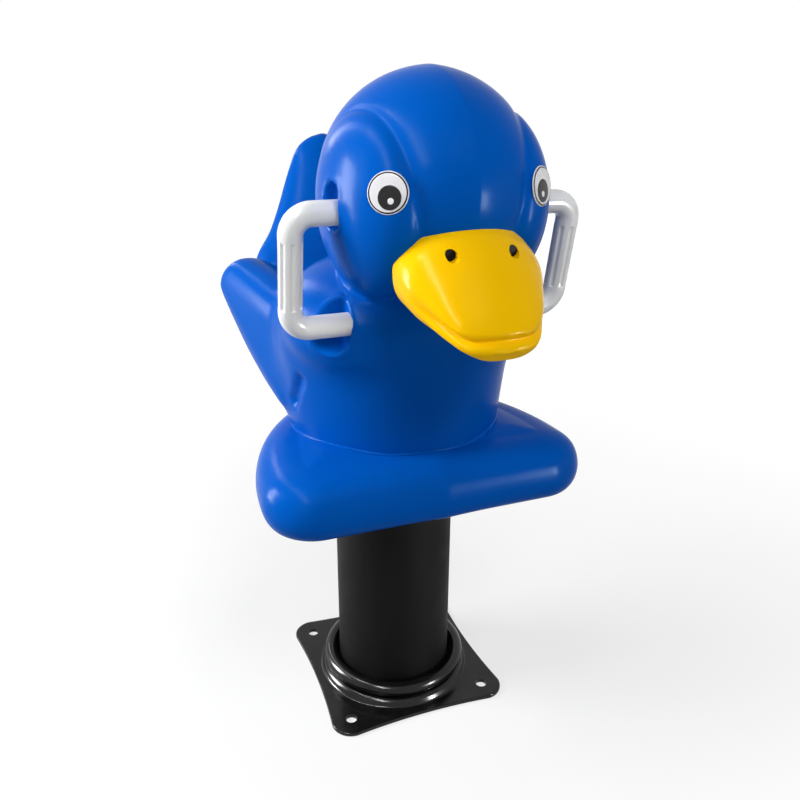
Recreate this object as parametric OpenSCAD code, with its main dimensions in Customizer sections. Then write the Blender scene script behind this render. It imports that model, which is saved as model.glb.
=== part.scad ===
// Spring rider: a hollow duck on a sleeved coil spring, for one small child.
// The origin is the middle of the base plate's underside, +Z is up and the duck faces -Y.

/* [Base] */
// Width of the square that the ground anchor holes stand on
hole_square_w = 180; // [176:1:190]
// Diameter of a ground anchor hole
hole_d = 14; // [10:1:18]
// Radius of the plate's corners round the anchor holes
corner_r = 25; // [22:1:30]
// Thickness of the base plate
plate_t = 5; // [4:0.5:6]
// How far each plate side curves inward at its middle
side_dip = 5; // [2:0.5:6]
// Middle radius of the round bead pressed into the plate
bead_ring_r = 88; // [88:0.5:89]
// Radius of the bead's round top
bead_r = 9; // [8:0.5:9]
// Middle radius of the collar's round lip
collar_lip_r = 85.5; // [85:0.5:87]
// Radius of the collar's round lip
collar_bead_r = 8.5; // [8:0.25:8.5]
// Height of the middle of the collar's lip
collar_lip_z = 24; // [24:0.5:27]
// Thickness of the collar's wall
collar_wall_t = 3.5; // [2.5:0.25:3.5]

/* [Spring column] */
// Outside diameter of the sleeve
sleeve_d = 147; // [145:0.5:147]
// Thickness of the sleeve
sleeve_t = 4; // [3:0.5:4]
// Height of the underside of the footrest
column_top_z = 303; // [295:1:315]
// Mean diameter of the coil
coil_d = 112; // [110:1:113]
// Diameter of the coil's wire
wire_d = 16; // [14:0.5:16]
// Turns of the coil, with the flat end turns
coil_turns = 6; // [5.5:0.25:6.5]
// Angle of each flat end turn, in degrees
coil_flat = 250; // [245:1:252]
// Sides of the wire
wire_sides = 8; // [6:1:10]
// Steps of the wire in one turn
wire_steps = 12; // [8:1:16]

/* [Footrest] */
// Height of the footrest, from its underside to its flat top
footrest_h = 72; // [71:1:78]
// Half width of the footrest at its widest
footrest_half_w = 187; // [175:1:195]
// Reach of the footrest in front of the column's middle
footrest_front = 162; // [155:1:170]
// Reach of the footrest behind the column's middle
footrest_back = 138; // [134:1:145]
// Radius of the front corners
footrest_corner_r = 57; // [52:1:62]
// Height of the footrest's rounded edge
footrest_edge_h = 67; // [62:1:69]
// Radius of the upper spring plate
spring_plate_r = 100; // [98:1:102]
// Thickness of the upper spring plate
spring_plate_t = 8; // [6:0.5:9]

/* [Body] */
// Wall thickness of the hollow mouldings
wall = 5; // [4:0.5:6]
// Radius of the body where it stands on the footrest
body_foot_r = 124; // [122:1:128]
// Radius of the round trunk under the chest
trunk_r = 142; // [138:1:146]
// Reach of the trunk behind the column's middle, at the seat
trunk_back = 205; // [195:1:215]
// Height of the seat above the footrest
seat_h = 137; // [130:1:145]
// Half width of the chest
chest_half_w = 138; // [134:1:142]
// Half length of the chest
chest_half_l = 113; // [108:1:116]
// Half height of the chest
chest_half_h = 82; // [78:1:86]
// Fullness of the chest's corners, where 2 gives an ellipse
chest_fullness = 2.4; // [2.2:0.1:2.6]
// How far the chest's middle lies in front of the column
chest_y = 25; // [20:1:30]
// How far the chest's middle lies below the seat
chest_drop = 12; // [6:1:18]
// Height of the tail above the seat
tail_h = 170; // [150:1:180]
// How far the tail's tip lies behind the column
tail_tip_y = 282; // [275:1:290]
// Half width of the tail at the seat
tail_half_w = 118; // [110:1:124]
// Half thickness of the tail at the seat
tail_half_t = 50; // [46:1:56]
// How far out the wing tips stand
wing_tip_x = 145; // [140:1:148]
// How far back the wing tips stand
wing_tip_y = 194; // [188:1:198]
// Height of the wing tips above the seat
wing_tip_rise = 8; // [2:1:14]
// Half depth of a wing at its fullest
wing_half_h = 58; // [54:1:60]
// Half thickness of a wing towards the body, at its fullest
wing_half_t = 42; // [38:1:44]
// Depth of a wing's lower half as a share of its upper half
wing_low_share = 0.8; // [0.7:0.05:0.95]
// Thickness of a wing's outer half as a share of its inner half
wing_out_share = 0.76; // [0.7:0.02:0.9]

/* [Head] */
// Half width of the head
head_half_w = 106; // [102:1:110]
// Half length of the head
head_half_l = 120; // [116:1:124]
// Half height of the head
head_half_h = 110; // [106:1:114]
// How far the head's middle lies in front of the column
head_y = 90; // [86:1:94]
// Height of the head's middle above the seat
head_rise = 138; // [133:1:143]
// Half width of a cheek
cheek_half_w = 53; // [50:1:56]
// Half length of a cheek
cheek_half_l = 94; // [90:1:98]
// Half height of a cheek
cheek_half_h = 92; // [88:1:96]
// Distance of a cheek's middle from the centre plane
cheek_x = 58; // [55:1:60]
// How far a cheek's middle lies in front of the head's
cheek_lead = 12; // [8:1:16]
// How far a cheek's middle lies below the head's
cheek_drop = 13; // [9:1:17]

/* [Bill] */
// Half width of the bill at its corners
bill_half_w = 70; // [66:1:74]
// How far the bill's corners lie below the head's middle
bill_root_drop = 62; // [58:1:66]
// How far the bill's root lies in front of the head's middle
bill_root_lead = 90; // [86:1:94]
// Length of the bill from its root to its lip
bill_l = 92; // [86:1:98]
// How far the bill's lip lies below its corners
bill_tip_drop = 52; // [46:1:58]
// Height of the bill's top above its corners
bill_rise = 48; // [44:1:50]
// Depth of the bill below its corners
bill_drop = 44; // [40:1:46]
// Distance of a nostril from the centre plane
nostril_x = 30; // [28:1:32]
// How far a nostril's rim lies in front of the bill's root
nostril_lead = 42; // [38:1:46]
// Height of a nostril above the bill's corners
nostril_rise = 17; // [14:1:20]
// Diameter of a nostril
nostril_d = 11; // [10:0.5:12]

/* [Eyes] */
// Diameter of the eye's pale rim
eye_d = 37; // [35:0.5:40]
// Distance of an eye from the centre plane
eye_x = 75; // [72:0.5:78]
// How far an eye lies in front of the head's middle
eye_lead = 96; // [92:0.5:100]
// Height of an eye above the head's middle
eye_rise = 6; // [0:0.5:12]
// Angle an eye faces outward from straight ahead
eye_turn = 34; // [30:1:40]
// Angle an eye faces upward
eye_tilt = 8; // [4:1:12]
// Thickness of one layer of the eye
eye_layer_t = 1; // [0.8:0.1:1.2]

/* [Handles] */
// Diameter of a handle's tube
tube_d = 24; // [22:0.5:26]
// Distance of a grip's axis from the centre plane
grip_x = 147; // [144:1:150]
// How far the upper arms lie below the head's middle
upper_arm_drop = 17; // [12:1:22]
// Height of the lower arms above the seat
lower_arm_rise = 7; // [2:1:12]
// How far the upper arms lie in front of the head's middle
upper_arm_lead = 35; // [30:1:40]
// How far the lower arms lie in front of the chest's middle
lower_arm_lead = 78; // [73:1:83]
// Radius of the elbows, to the tube's middle
elbow_r = 20; // [16:1:24]
// Distance of the upper arms' ends from the centre plane
upper_arm_end = 82; // [78:1:86]
// Distance of the lower arms' ends from the centre plane
lower_arm_end = 72; // [68:1:76]
// Flutes round a grip
flutes = 7; // [5:1:9]
// Diameter of a flute's cutter
flute_d = 4; // [3:0.5:5]
// Width of a handle pocket
pocket_w = 30; // [28:1:32]
// Height of a handle pocket
pocket_h = 56; // [50:1:60]

/* [Fixings] */
// Diameter of the rider's bolts and the clamps' studs
bolt_d = 10; // [8:1:10]
// Width across the corners of their heads and nuts
bolt_head_d = 19.6; // [16:0.2:20]
// Height of their heads and nuts
bolt_head_h = 7; // [6:0.5:8]
// Radius of the circle of the rider's bolts
rider_bolt_ring_r = 86; // [85:0.5:87]
// Thickness of the backing plate
backing_t = 4; // [3:0.5:5]
// Diameter of the handle bolts and the bill's screws
screw_d = 6; // [5:0.5:6]
// Diameter of their heads, nuts and washers
screw_head_d = 13; // [12:0.5:14]
// Height of their heads and nuts
screw_head_h = 5; // [4:0.5:6]
// Diameter of a threaded insert in a handle arm
insert_d = 12; // [10:0.5:13]
// Length of a threaded insert
insert_l = 22; // [18:1:24]
// Width of a spring clamp along the wire
clamp_w = 26; // [22:1:30]
// Thickness of a spring clamp above the wire
clamp_cover = 6; // [5:0.5:8]

/* [Hidden] */
$fn = 64;

// How far a cut runs past the face that it opens
over = plate_t / 5;
// Clearance between neighbouring pieces
gap = plate_t * 0.06;
// Clearance round a bolt or a stud
bolt_gap = plate_t * 0.05;
// Colours as the photo shows them
blue = "#0b57c9";
yellow = "#f8b90a";
white = "#ececec";
black = "#19191b";
steel = "#8d9196";

// Heights above the ground
footrest_top_z = column_top_z + footrest_h;
seat_z = footrest_top_z + seat_h;
chest_z = seat_z - chest_drop;
wing_tip_z = seat_z + wing_tip_rise;
head_z = seat_z + head_rise;
cheek_z = head_z - cheek_drop;
bill_root_z = head_z - bill_root_drop;
nostril_z = bill_root_z + nostril_rise;
eye_z = head_z + eye_rise;
upper_arm_z = head_z - upper_arm_drop;
lower_arm_z = seat_z + lower_arm_rise;
// Reaches in front of the column
cheek_y = head_y + cheek_lead;
bill_root_y = head_y + bill_root_lead;
nostril_y = bill_root_y + nostril_lead;
eye_y = head_y + eye_lead;
upper_arm_y = head_y + upper_arm_lead;
lower_arm_y = chest_y + lower_arm_lead;

// Wire and clamp heights
wire_r = wire_d / 2;
coil_r = coil_d / 2;
coil_low_z = plate_t + wire_r + gap;
coil_high_z = column_top_z - wire_r - gap;
coil_angle = coil_turns * 360;
// How far the wire's straight steps lie inside its round way
wire_sag = coil_r * (1 - cos(180 / wire_steps));
coil_rise_angle = coil_angle - 2 * coil_flat;
clamp_h = wire_d + 2 * gap + clamp_cover;
clamp_out_r = sleeve_d / 2 - sleeve_t - wire_r / 4;
clamp_stud_r = coil_r - wire_r - bolt_head_d / 2 - 3 * gap;
clamp_in_r = clamp_stud_r - bolt_d;
clamp_angles = [60, 140, 220];
coil_end_angle = coil_angle - 360 * floor(coil_angle / 360);
upper_clamp_angles = [for (a = clamp_angles) coil_end_angle - a];
rider_bolt_angles = [45, 135, 225, 315];
backing_z = footrest_top_z + wall + gap;
rider_nut_z = backing_z + backing_t + plate_t * 0.4;
backing_r = rider_bolt_ring_r + bolt_head_d / 2;
floor_hole_r = spring_plate_r * 0.4;
washer_t = plate_t * 0.3;
// Each handle arm: how far in front, how high and where it ends
arms = [[upper_arm_y, upper_arm_z, upper_arm_end], [lower_arm_y, lower_arm_z, lower_arm_end]];
// Depth of the screw head's seat in a nostril, and of the flat pad inside the head
nostril_seat = wall * 1.8;
pad_depth = nostril_y - head_y - head_half_l * 0.74;

// Points of an arc in the plane
function arc(c, r, a0, a1, n) = [
  for (i = [0 : n]) let (a = a0 + (a1 - a0) * i / n) [c[0] + r * cos(a), c[1] + r * sin(a)]
];

// A sine or cosine made fuller or flatter, for rings that are squarer or sharper than an ellipse
function full(v, power) = sign(v) * pow(abs(v), 2 / power);

// A closed skin through rings of equal counts, stacked along the way they face
module skin(rings) {
  n = len(rings[0]);
  m = len(rings);
  points = [for (ring = rings) each ring];
  sides = [
    for (j = [0 : m - 2], i = [0 : n - 1]) let (k = (i + 1) % n, a = j * n, b = a + n)
      each [[a + i, b + i, b + k], [a + i, b + k, a + k]]
  ];
  bottom = [for (i = [0 : n - 1]) i];
  top = [for (i = [n - 1 : -1 : 0]) (m - 1) * n + i];
  polyhedron(points, concat([bottom], sides, [top]), convexity = 6);
}

// An ellipsoid at c with half sizes r, drawn in by t all round
module blob(c, r, t, n) {
  translate(c) scale([r[0] - t, r[1] - t, r[2] - t] / r[0]) sphere(r[0], $fn = n);
}

// The same thing on the right and on the left
module both_sides() {
  children();
  mirror([1, 0, 0]) children();
}

// Copies of the children round the column at the angles listed
module round_column(angles, r) {
  for (a = angles) rotate(a) translate([r, 0, 0]) children();
}

// A hexagonal head or nut with its underside at z = 0
module hexagon(d, h) {
  cylinder(d = d, h = h, $fn = 6);
}

// Base plate, collar and their pieces

module plate_outline() {
  side = hole_square_w + 2 * corner_r;
  dip_r = (pow(hole_square_w / 2, 2) + pow(side_dip, 2)) / (2 * side_dip);
  difference() {
    union() {
      square([hole_square_w, side], center = true);
      square([side, hole_square_w], center = true);
      for (x = [-1, 1], y = [-1, 1]) translate([x, y] * hole_square_w / 2) circle(corner_r);
    }
    for (a = [0 : 90 : 270]) rotate(a) translate([side / 2 - side_dip + dip_r, 0]) circle(dip_r);
  }
}

module base_plate() {
  color(black) difference() {
    union() {
      linear_extrude(plate_t) plate_outline();
      rotate_extrude() intersection() {
        translate([bead_ring_r, plate_t - over]) circle(bead_r + over);
        translate([bead_ring_r - bead_r, plate_t - over]) square([2 * bead_r, bead_r + 2 * over]);
      }
    }
    for (x = [-1, 1], y = [-1, 1]) {
      translate([x * hole_square_w / 2, y * hole_square_w / 2, -over])
        cylinder(d = hole_d, h = plate_t + 2 * over);
    }
    translate([0, 0, -over]) round_column(clamp_angles, clamp_stud_r)
      cylinder(d = bolt_d + 2 * bolt_gap, h = plate_t + 2 * over);
  }
}

module collar_ring() {
  wall_in = sleeve_d / 2 + collar_wall_t / 2;
  color(black) rotate_extrude() union() {
    translate([wall_in, plate_t]) square([collar_wall_t, collar_lip_z - plate_t + collar_wall_t / 2]);
    translate([wall_in, collar_lip_z - collar_wall_t / 2])
      square([collar_lip_r - wall_in, collar_wall_t]);
    translate([collar_lip_r, collar_lip_z]) circle(collar_bead_r);
  }
}

// Spring, sleeve and clamps

// Share of the coil's rise reached at an angle, flat over both end turns
function coil_share(a) = min(1, max(0, (a - coil_flat) / coil_rise_angle));
function coil_z(a) = coil_low_z + (coil_high_z - coil_low_z) * coil_share(a);
function wire_ring(a) = [
  for (i = [0 : wire_sides - 1]) let (b = 360 * i / wire_sides, r = coil_r + wire_r * cos(b))
    [r * cos(a), r * sin(a), coil_z(a) + wire_r * sin(b)]
];
// Least gap between one turn and the next
coil_gap = min([
  for (a = [0 : 10 : coil_angle - 360]) coil_z(a + 360) - coil_z(a) - wire_d
]);
echo(coil_gap = coil_gap);

module coil_spring() {
  steps = ceil(coil_turns * wire_steps);
  color(steel) skin([for (i = [steps : -1 : 0]) wire_ring(coil_angle * i / steps)]);
}

module spring_sleeve() {
  z0 = plate_t + gap;
  h = column_top_z - gap - z0;
  color(black) translate([0, 0, z0]) rotate_extrude() translate([sleeve_d / 2 - sleeve_t, 0])
    square([sleeve_t, h]);
}

// A saddle that holds a turn of wire down on a face at z = 0
module clamp_saddle() {
  difference() {
    intersection() {
      rotate_extrude() difference() {
        translate([clamp_in_r, 0]) square([clamp_out_r - clamp_in_r, clamp_h]);
        hull() for (r = [coil_r - wire_sag, coil_r]) translate([r, wire_r + gap]) circle(wire_r + gap);
        translate([coil_r - wire_sag - wire_r - gap, -over])
          square([wire_sag + wire_d + 2 * gap, wire_r + gap + over]);
      }
      translate([0, -clamp_w / 2, 0]) cube([clamp_out_r, clamp_w, clamp_h]);
    }
    translate([clamp_stud_r, 0, -over]) cylinder(d = bolt_d + 2 * bolt_gap, h = clamp_h + 2 * over);
  }
}

module lower_clamps() {
  color(steel) translate([0, 0, plate_t]) for (a = clamp_angles) rotate(a) clamp_saddle();
}

module lower_clamp_studs() {
  h = plate_t + clamp_h + bolt_head_h * 1.4;
  color(steel) round_column(clamp_angles, clamp_stud_r) translate([0, 0, gap])
    cylinder(d = bolt_d, h = h);
}

module lower_clamp_nuts() {
  color(steel) translate([0, 0, plate_t + clamp_h]) round_column(clamp_angles, clamp_stud_r)
    difference() {
      hexagon(bolt_head_d, bolt_head_h);
      translate([0, 0, -over]) cylinder(d = bolt_d + bolt_gap, h = bolt_head_h + 2 * over);
    }
}

module upper_spring_plate() {
  color(black) translate([0, 0, column_top_z]) difference() {
    cylinder(r = spring_plate_r, h = spring_plate_t);
    translate([0, 0, -over]) {
      cylinder(r = clamp_in_r, h = spring_plate_t + 2 * over);
      round_column(upper_clamp_angles, clamp_stud_r)
        cylinder(d = bolt_d + bolt_gap, h = spring_plate_t + 2 * over);
      round_column(rider_bolt_angles, rider_bolt_ring_r)
        cylinder(d = bolt_d + 2 * bolt_gap, h = spring_plate_t + 2 * over);
    }
  }
}

module upper_clamps() {
  color(steel) translate([0, 0, column_top_z]) mirror([0, 0, 1])
    for (a = upper_clamp_angles) rotate(a) clamp_saddle();
}

module upper_clamp_bolts() {
  head_z = column_top_z - clamp_h - bolt_head_h;
  color(steel) round_column(upper_clamp_angles, clamp_stud_r) translate([0, 0, head_z]) {
    hexagon(bolt_head_d, bolt_head_h);
    cylinder(d = bolt_d, h = bolt_head_h + clamp_h + spring_plate_t - gap);
  }
}

// Footrest and the bolts through it

// Plan of the footrest drawn in by t, then shrunk to a share of its size
function footrest_plan(t, share, z) = let (
  mid_y = footrest_corner_r - footrest_front,
  corner_x = footrest_half_w - footrest_corner_r,
  corner = arc([corner_x, mid_y], footrest_corner_r - t, -90, 0, 8),
  side = [
    for (a = [9 : 9 : 90])
      [(footrest_half_w - t) * cos(a), mid_y + (footrest_back - mid_y - t) * sin(a)]
  ],
  right = concat(corner, side),
  left = [for (i = [len(right) - 2 : -1 : 0]) [-right[i][0], right[i][1]]]
) [for (p = concat(right, left)) [p[0] * share, p[1] * share, z]];

// Height and draw-in round the footrest's edge, as shares of the edge's height and the corner radius
footrest_edge_shares = [
  [0, 0.34], [0.04, 0.19], [0.145, 0.08], [0.29, 0.015], [0.41, 0], [0.53, 0.02], [0.65, 0.08],
  [0.765, 0.18], [0.868, 0.34], [0.956, 0.6], [1, 0.86]
];
// Height and size of the crown inside the edge, as shares of its rise and the edge's size
footrest_crown_shares = [[0.45, 0.92], [0.8, 0.84], [1, 0.77]];

module footrest_form(t) {
  edge_h = footrest_edge_h - 2 * t;
  edge_z = column_top_z + t;
  rise = footrest_h - footrest_edge_h;
  draw = footrest_corner_r - t;
  last = footrest_edge_shares[len(footrest_edge_shares) - 1];
  skin(concat(
    [for (s = footrest_edge_shares) footrest_plan(t + s[1] * draw, 1, edge_z + s[0] * edge_h)],
    [
      for (s = footrest_crown_shares)
        footrest_plan(t + last[1] * draw, s[1], edge_z + edge_h + s[0] * rise)
    ]
  ));
}

// The round step that the body stands on, drawn in by t
module footrest_step(t) {
  low = column_top_z + footrest_edge_h / 2;
  translate([0, 0, low]) cylinder(r = body_foot_r - t, h = footrest_top_z - t - low, $fn = 36);
}

module footrest() {
  boss_r = bolt_d * 1.2;
  recess_h = spring_plate_t + gap;
  color(blue) difference() {
    resize([0, 0, 0]) difference() {
      union() {
        footrest_form(0);
        footrest_step(0);
      }
      difference() {
        union() {
          footrest_form(wall);
          footrest_step(wall);
        }
        cylinder(r = spring_plate_r + wall, h = column_top_z + recess_h + wall);
        round_column(rider_bolt_angles, rider_bolt_ring_r)
          cylinder(r = boss_r, h = footrest_top_z, $fn = 24);
      }
      cylinder(r = floor_hole_r - wall, h = footrest_top_z + over);
    }
    translate([0, 0, column_top_z - over]) {
      cylinder(r = spring_plate_r + gap, h = recess_h + over);
      cylinder(r = floor_hole_r, h = footrest_h + 2 * over);
      round_column(rider_bolt_angles, rider_bolt_ring_r)
        cylinder(d = bolt_d + 2 * bolt_gap, h = footrest_h + 2 * over);
    }
  }
}

module rider_bolts() {
  head_z = column_top_z - bolt_head_h;
  color(steel) round_column(rider_bolt_angles, rider_bolt_ring_r) translate([0, 0, head_z]) {
    hexagon(bolt_head_d, bolt_head_h);
    cylinder(d = bolt_d, h = rider_nut_z + bolt_head_h * 1.3 - head_z);
  }
}

module rider_washers() {
  t = rider_nut_z - backing_z - backing_t;
  color(steel) round_column(rider_bolt_angles, rider_bolt_ring_r) translate([0, 0, backing_z + backing_t])
    difference() {
      cylinder(d = bolt_head_d, h = t);
      translate([0, 0, -over]) cylinder(d = bolt_d + 2 * bolt_gap, h = t + 2 * over);
    }
}

module rider_nuts() {
  color(steel) round_column(rider_bolt_angles, rider_bolt_ring_r) translate([0, 0, rider_nut_z])
    difference() {
      hexagon(bolt_head_d, bolt_head_h);
      translate([0, 0, -over]) cylinder(d = bolt_d + bolt_gap, h = bolt_head_h + 2 * over);
    }
}

module backing_plate() {
  color(steel) translate([0, 0, backing_z]) difference() {
    cylinder(r = backing_r, h = backing_t);
    translate([0, 0, -over]) {
      cylinder(r = floor_hole_r, h = backing_t + 2 * over);
      round_column(rider_bolt_angles, rider_bolt_ring_r)
        cylinder(d = bolt_d + 2 * bolt_gap, h = backing_t + 2 * over);
    }
  }
}

// The duck's hollow body

// A ring with its own reach to the sides, front and back
function egg_ring(w, front, back, z, n) = [
  for (i = [0 : n - 1]) let (a = 360 * i / n) [w * cos(a), (sin(a) < 0 ? front : back) * sin(a), z]
];

// Height, half width, front and back of the trunk, as shares of its height and full sizes
trunk_shares = [
  [0, 0, 0, 0], [0.02, 0.06, 0.06, 0.03], [0.25, 0.26, 0.2, 0.34], [0.5, 0.5, 0.42, 0.68],
  [0.72, 0.74, 0.66, 0.92], [0.86, 0.74, 0.66, 1], [0.95, 0.3, 0.2, 0.9], [1, -1.6, -1.6, 0.35]
];

module trunk(t, n) {
  grow = trunk_r - body_foot_r;
  reach = trunk_back - body_foot_r;
  z0 = footrest_top_z + t;
  h = seat_h - 2 * t;
  r0 = body_foot_r - t;
  skin([
    for (s = trunk_shares)
      egg_ring(r0 + s[1] * grow, r0 + s[2] * grow, r0 + s[3] * reach, z0 + s[0] * h, n)
  ]);
}

// The chest, fuller at its corners than an ellipsoid
module chest(t, n) {
  m = n / 2;
  skin([
    for (j = [1 : m - 1]) let (b = 180 * j / m - 90, r = cos(b)) [
      for (i = [0 : n - 1]) let (a = 360 * i / n) [
        (chest_half_w - t) * r * full(cos(a), chest_fullness),
        (chest_half_l - t) * r * full(sin(a), chest_fullness) - chest_y,
        chest_z + (chest_half_h - t) * sin(b)
      ]
    ]
  ]);
}

// Height share, half width share, half thickness share and back share up the tail
// Below the seat the height is a share of the seat's own height
tail_shares = [
  [-0.745, 0.7, 0.7, -1.6], [-0.372, 0.95, 0.95, -0.6], [0, 0.98, 1, 0], [0.286, 0.75, 0.8, 0.28],
  [0.475, 0.62, 0.66, 0.46], [0.64, 0.52, 0.56, 0.62], [0.785, 0.42, 0.46, 0.77],
  [0.88, 0.345, 0.36, 0.87], [0.945, 0.25, 0.26, 0.94], [0.985, 0.13, 0.14, 0.98], [1, 0.03, 0.04, 1]
];

module tail(t, n) {
  root_y = trunk_back * 1.1;
  skin([
    for (s = tail_shares) let (
      w = max(wall / 9, tail_half_w * s[1] - t),
      d = max(wall / 9, tail_half_t * s[2] - t),
      y = root_y + (tail_tip_y - root_y) * s[3],
      z = seat_z + s[0] * (s[0] < 0 ? seat_h : tail_h) - (s[0] > 0.5 ? t : 0)
    ) [for (i = [0 : n - 1]) let (a = 360 * i / n) [w * cos(a), y + d * sin(a), z]]
  ]);
}

// Size of the form that draws the flank out of the chest, as a share of the chest
flank_share = 0.4;

// Way share along the wing, half depth share and half thickness share
wing_shares = [
  [0, 0.12, 0.3], [0.05, 0.4, 0.8], [0.15, 0.62, 1], [0.35, 0.92, 1], [0.55, 1, 1], [0.75, 0.88, 1],
  [0.9, 0.68, 1], [0.97, 0.46, 0.74], [1, 0.06, 0.1]
];

module wing(t, n) {
  start = [-body_foot_r * 0.8, 0, footrest_top_z + seat_h * 0.08];
  finish = [-wing_tip_x, wing_tip_y, wing_tip_z];
  way = finish - start;
  side = [way[1], -way[0], 0] / norm([way[0], way[1]]);
  drop = cross(way, side) / norm(cross(way, side));
  skin([
    for (s = wing_shares) let (
      h = max(wall / 9, wing_half_h * s[1] - t),
      d = max(wall / 9, wing_half_t * s[2] - t)
    ) [
      for (i = [0 : n - 1]) let (
        a = 360 * i / n,
        in = d * cos(a) * (cos(a) < 0 ? wing_out_share : 1),
        down = h * sin(a) * (sin(a) > 0 ? wing_low_share : 1)
      ) start + way * s[0] + side * in + drop * down
    ]
  ]);
}

// The flank, drawn tight from the wing to the side of the chest
module flank(t, n) {
  chest_halves = [chest_half_w, chest_half_l, chest_half_h];
  hull() {
    wing(t, n);
    blob([-chest_half_w / 2, 0, chest_z - chest_half_h / 4], chest_halves * flank_share, t, n);
  }
}

module head_form(t, n) {
  blob([0, -head_y, head_z], [head_half_w, head_half_l, head_half_h], t, n);
  both_sides()
    blob([cheek_x, -cheek_y, cheek_z], [cheek_half_w, cheek_half_l, cheek_half_h], t, n * 0.75);
}

module duck_form(t, n) {
  trunk(t, n);
  chest(t, n);
  tail(t, n * 0.75);
  both_sides() flank(t, n / 2);
  head_form(t, n);
}

// An upright oval bar along X from x0 to x1, for the pocket of one handle arm
module pocket_bar(y, z, x0, x1, grow) {
  r = pocket_w / 2 + grow;
  half = (pocket_h - pocket_w) / 2;
  translate([x0, -y, z]) {
    for (k = [-1, 1]) translate([0, 0, k * half]) rotate([0, 90, 0]) cylinder(r = r, h = x1 - x0, $fn = 32);
    translate([0, -r, -half]) cube([x1 - x0, 2 * r, 2 * half]);
  }
}

module pockets(grow, back) {
  out = grip_x - tube_d;
  both_sides() {
    pocket_bar(upper_arm_y, upper_arm_z, upper_arm_end - back, out, grow);
    pocket_bar(lower_arm_y, lower_arm_z, lower_arm_end - back, out, grow);
  }
}

// Flat pads inside the head for the bill's screws
module screw_pads(r) {
  both_sides() bill_screw_line(-pad_depth) cylinder(r = r, h = pad_depth, $fn = 24);
}

module rider_body() {
  color(blue) resize([0, 0, 0]) difference() {
    duck_form(0, 36);
    difference() {
      duck_form(wall, 20);
      pockets(wall, wall);
      screw_pads(screw_head_d);
    }
    pockets(0, 0);
    translate([0, 0, footrest_top_z - over]) {
      cylinder(r = floor_hole_r, h = wall + 2 * over);
      round_column(rider_bolt_angles, rider_bolt_ring_r)
        cylinder(d = bolt_d + 4 * bolt_gap, h = wall + 2 * over, $fn = 24);
    }
    both_sides() {
      for (arm = arms) {
        arm_line(arm, -wall - over) cylinder(d = screw_d + 4 * bolt_gap, h = wall + 2 * over, $fn = 24);
        arm_line(arm, -wall - 2 * screw_head_h)
          cylinder(d = screw_head_d + 4 * gap, h = 2 * screw_head_h, $fn = 24);
      }
      bill_screw_line(-pad_depth - over) cylinder(d = screw_d + 4 * bolt_gap, h = pad_depth, $fn = 24);
      at_eye(0) cylinder(d = eye_d + 4 * gap, h = eye_d / 2, $fn = 48);
    }
  }
}

// Bill

// Way share forward, width share, rise share, drop share and height share down to the lip
bill_shares = [
  [0, 1, 1, 1, 0], [0.3, 0.96, 0.92, 0.95, 0.16], [0.55, 0.82, 0.74, 0.8, 0.4],
  [0.75, 0.68, 0.52, 0.62, 0.64], [0.89, 0.54, 0.36, 0.48, 0.84], [0.97, 0.38, 0.22, 0.34, 0.97],
  [1, 0.16, 0.08, 0.12, 1]
];

module bill_form(t, n) {
  skin([
    for (s = bill_shares) let (
      w = bill_half_w * s[1] - t,
      up = bill_rise * s[2] - t,
      down = bill_drop * s[3] - t,
      y = -bill_root_y - (bill_l - t) * s[0],
      z = bill_root_z - bill_tip_drop * s[4]
    ) [
      for (i = [0 : n - 1]) let (a = 360 * i / n, above = sin(a) > 0, power = above ? 1.8 : 2.8)
        [
          max(wall / 9, w) * full(cos(a), power),
          y,
          z + max(wall / 9, above ? up : down) * full(sin(a), power)
        ]
    ]
  ]);
}

// The line of a bill screw, with z = 0 at the nostril's rim and +z outward
module bill_screw_line(z) {
  translate([nostril_x, -nostril_y, nostril_z]) rotate([90, 0, 0]) translate([0, 0, z]) children();
}

module bill() {
  color(yellow) difference() {
    resize([0, 0, 0]) difference() {
      bill_form(0, 40);
      difference() {
        bill_form(wall, 24);
        screw_pads(nostril_d);
      }
      head_form(-gap, 48);
    }
    both_sides() {
      bill_screw_line(-pad_depth) cylinder(d = screw_d + 2 * bolt_gap, h = pad_depth + wall);
      bill_screw_line(-nostril_seat) cylinder(d = nostril_d, h = nostril_seat + wall * 4);
    }
  }
}

module bill_screws() {
  l = pad_depth + washer_t + screw_head_h * 1.4 - nostril_seat;
  color(black) both_sides() bill_screw_line(-nostril_seat) {
    cylinder(d = nostril_d - 2 * gap, h = screw_head_h);
    translate([0, 0, -l]) cylinder(d = screw_d, h = l + over);
  }
}

module bill_washers() {
  color(steel) both_sides() bill_screw_line(-pad_depth - washer_t) difference() {
    cylinder(d = screw_head_d, h = washer_t);
    translate([0, 0, -over]) cylinder(d = screw_d + 2 * bolt_gap, h = washer_t + 2 * over);
  }
}

module bill_nuts() {
  color(steel) both_sides() bill_screw_line(-pad_depth - washer_t - screw_head_h) difference() {
    hexagon(screw_head_d, screw_head_h);
    translate([0, 0, -over]) cylinder(d = screw_d + bolt_gap, h = screw_head_h + 2 * over);
  }
}

// Eyes

// The eye on the +X side, with z = 0 on the seat in the head and +z outward
module at_eye(z) {
  translate([eye_x, -eye_y, eye_z]) rotate([0, 0, eye_turn]) rotate([90 - eye_tilt, 0, 0])
    translate([0, 0, z]) children();
}

// The pupil lies a little forward and down in the eye, and the glint lies further the same way
module pupil_shift(times) {
  translate([-eye_d * 0.045 * times, -eye_d * 0.105 * times, 0]) children();
}

module eye_rims() {
  color(white) both_sides() at_eye(0) cylinder(d = eye_d, h = eye_layer_t);
}

module eye_rings() {
  color(black) both_sides() at_eye(eye_layer_t) cylinder(d = eye_d * 0.955, h = eye_layer_t / 2);
}

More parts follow.
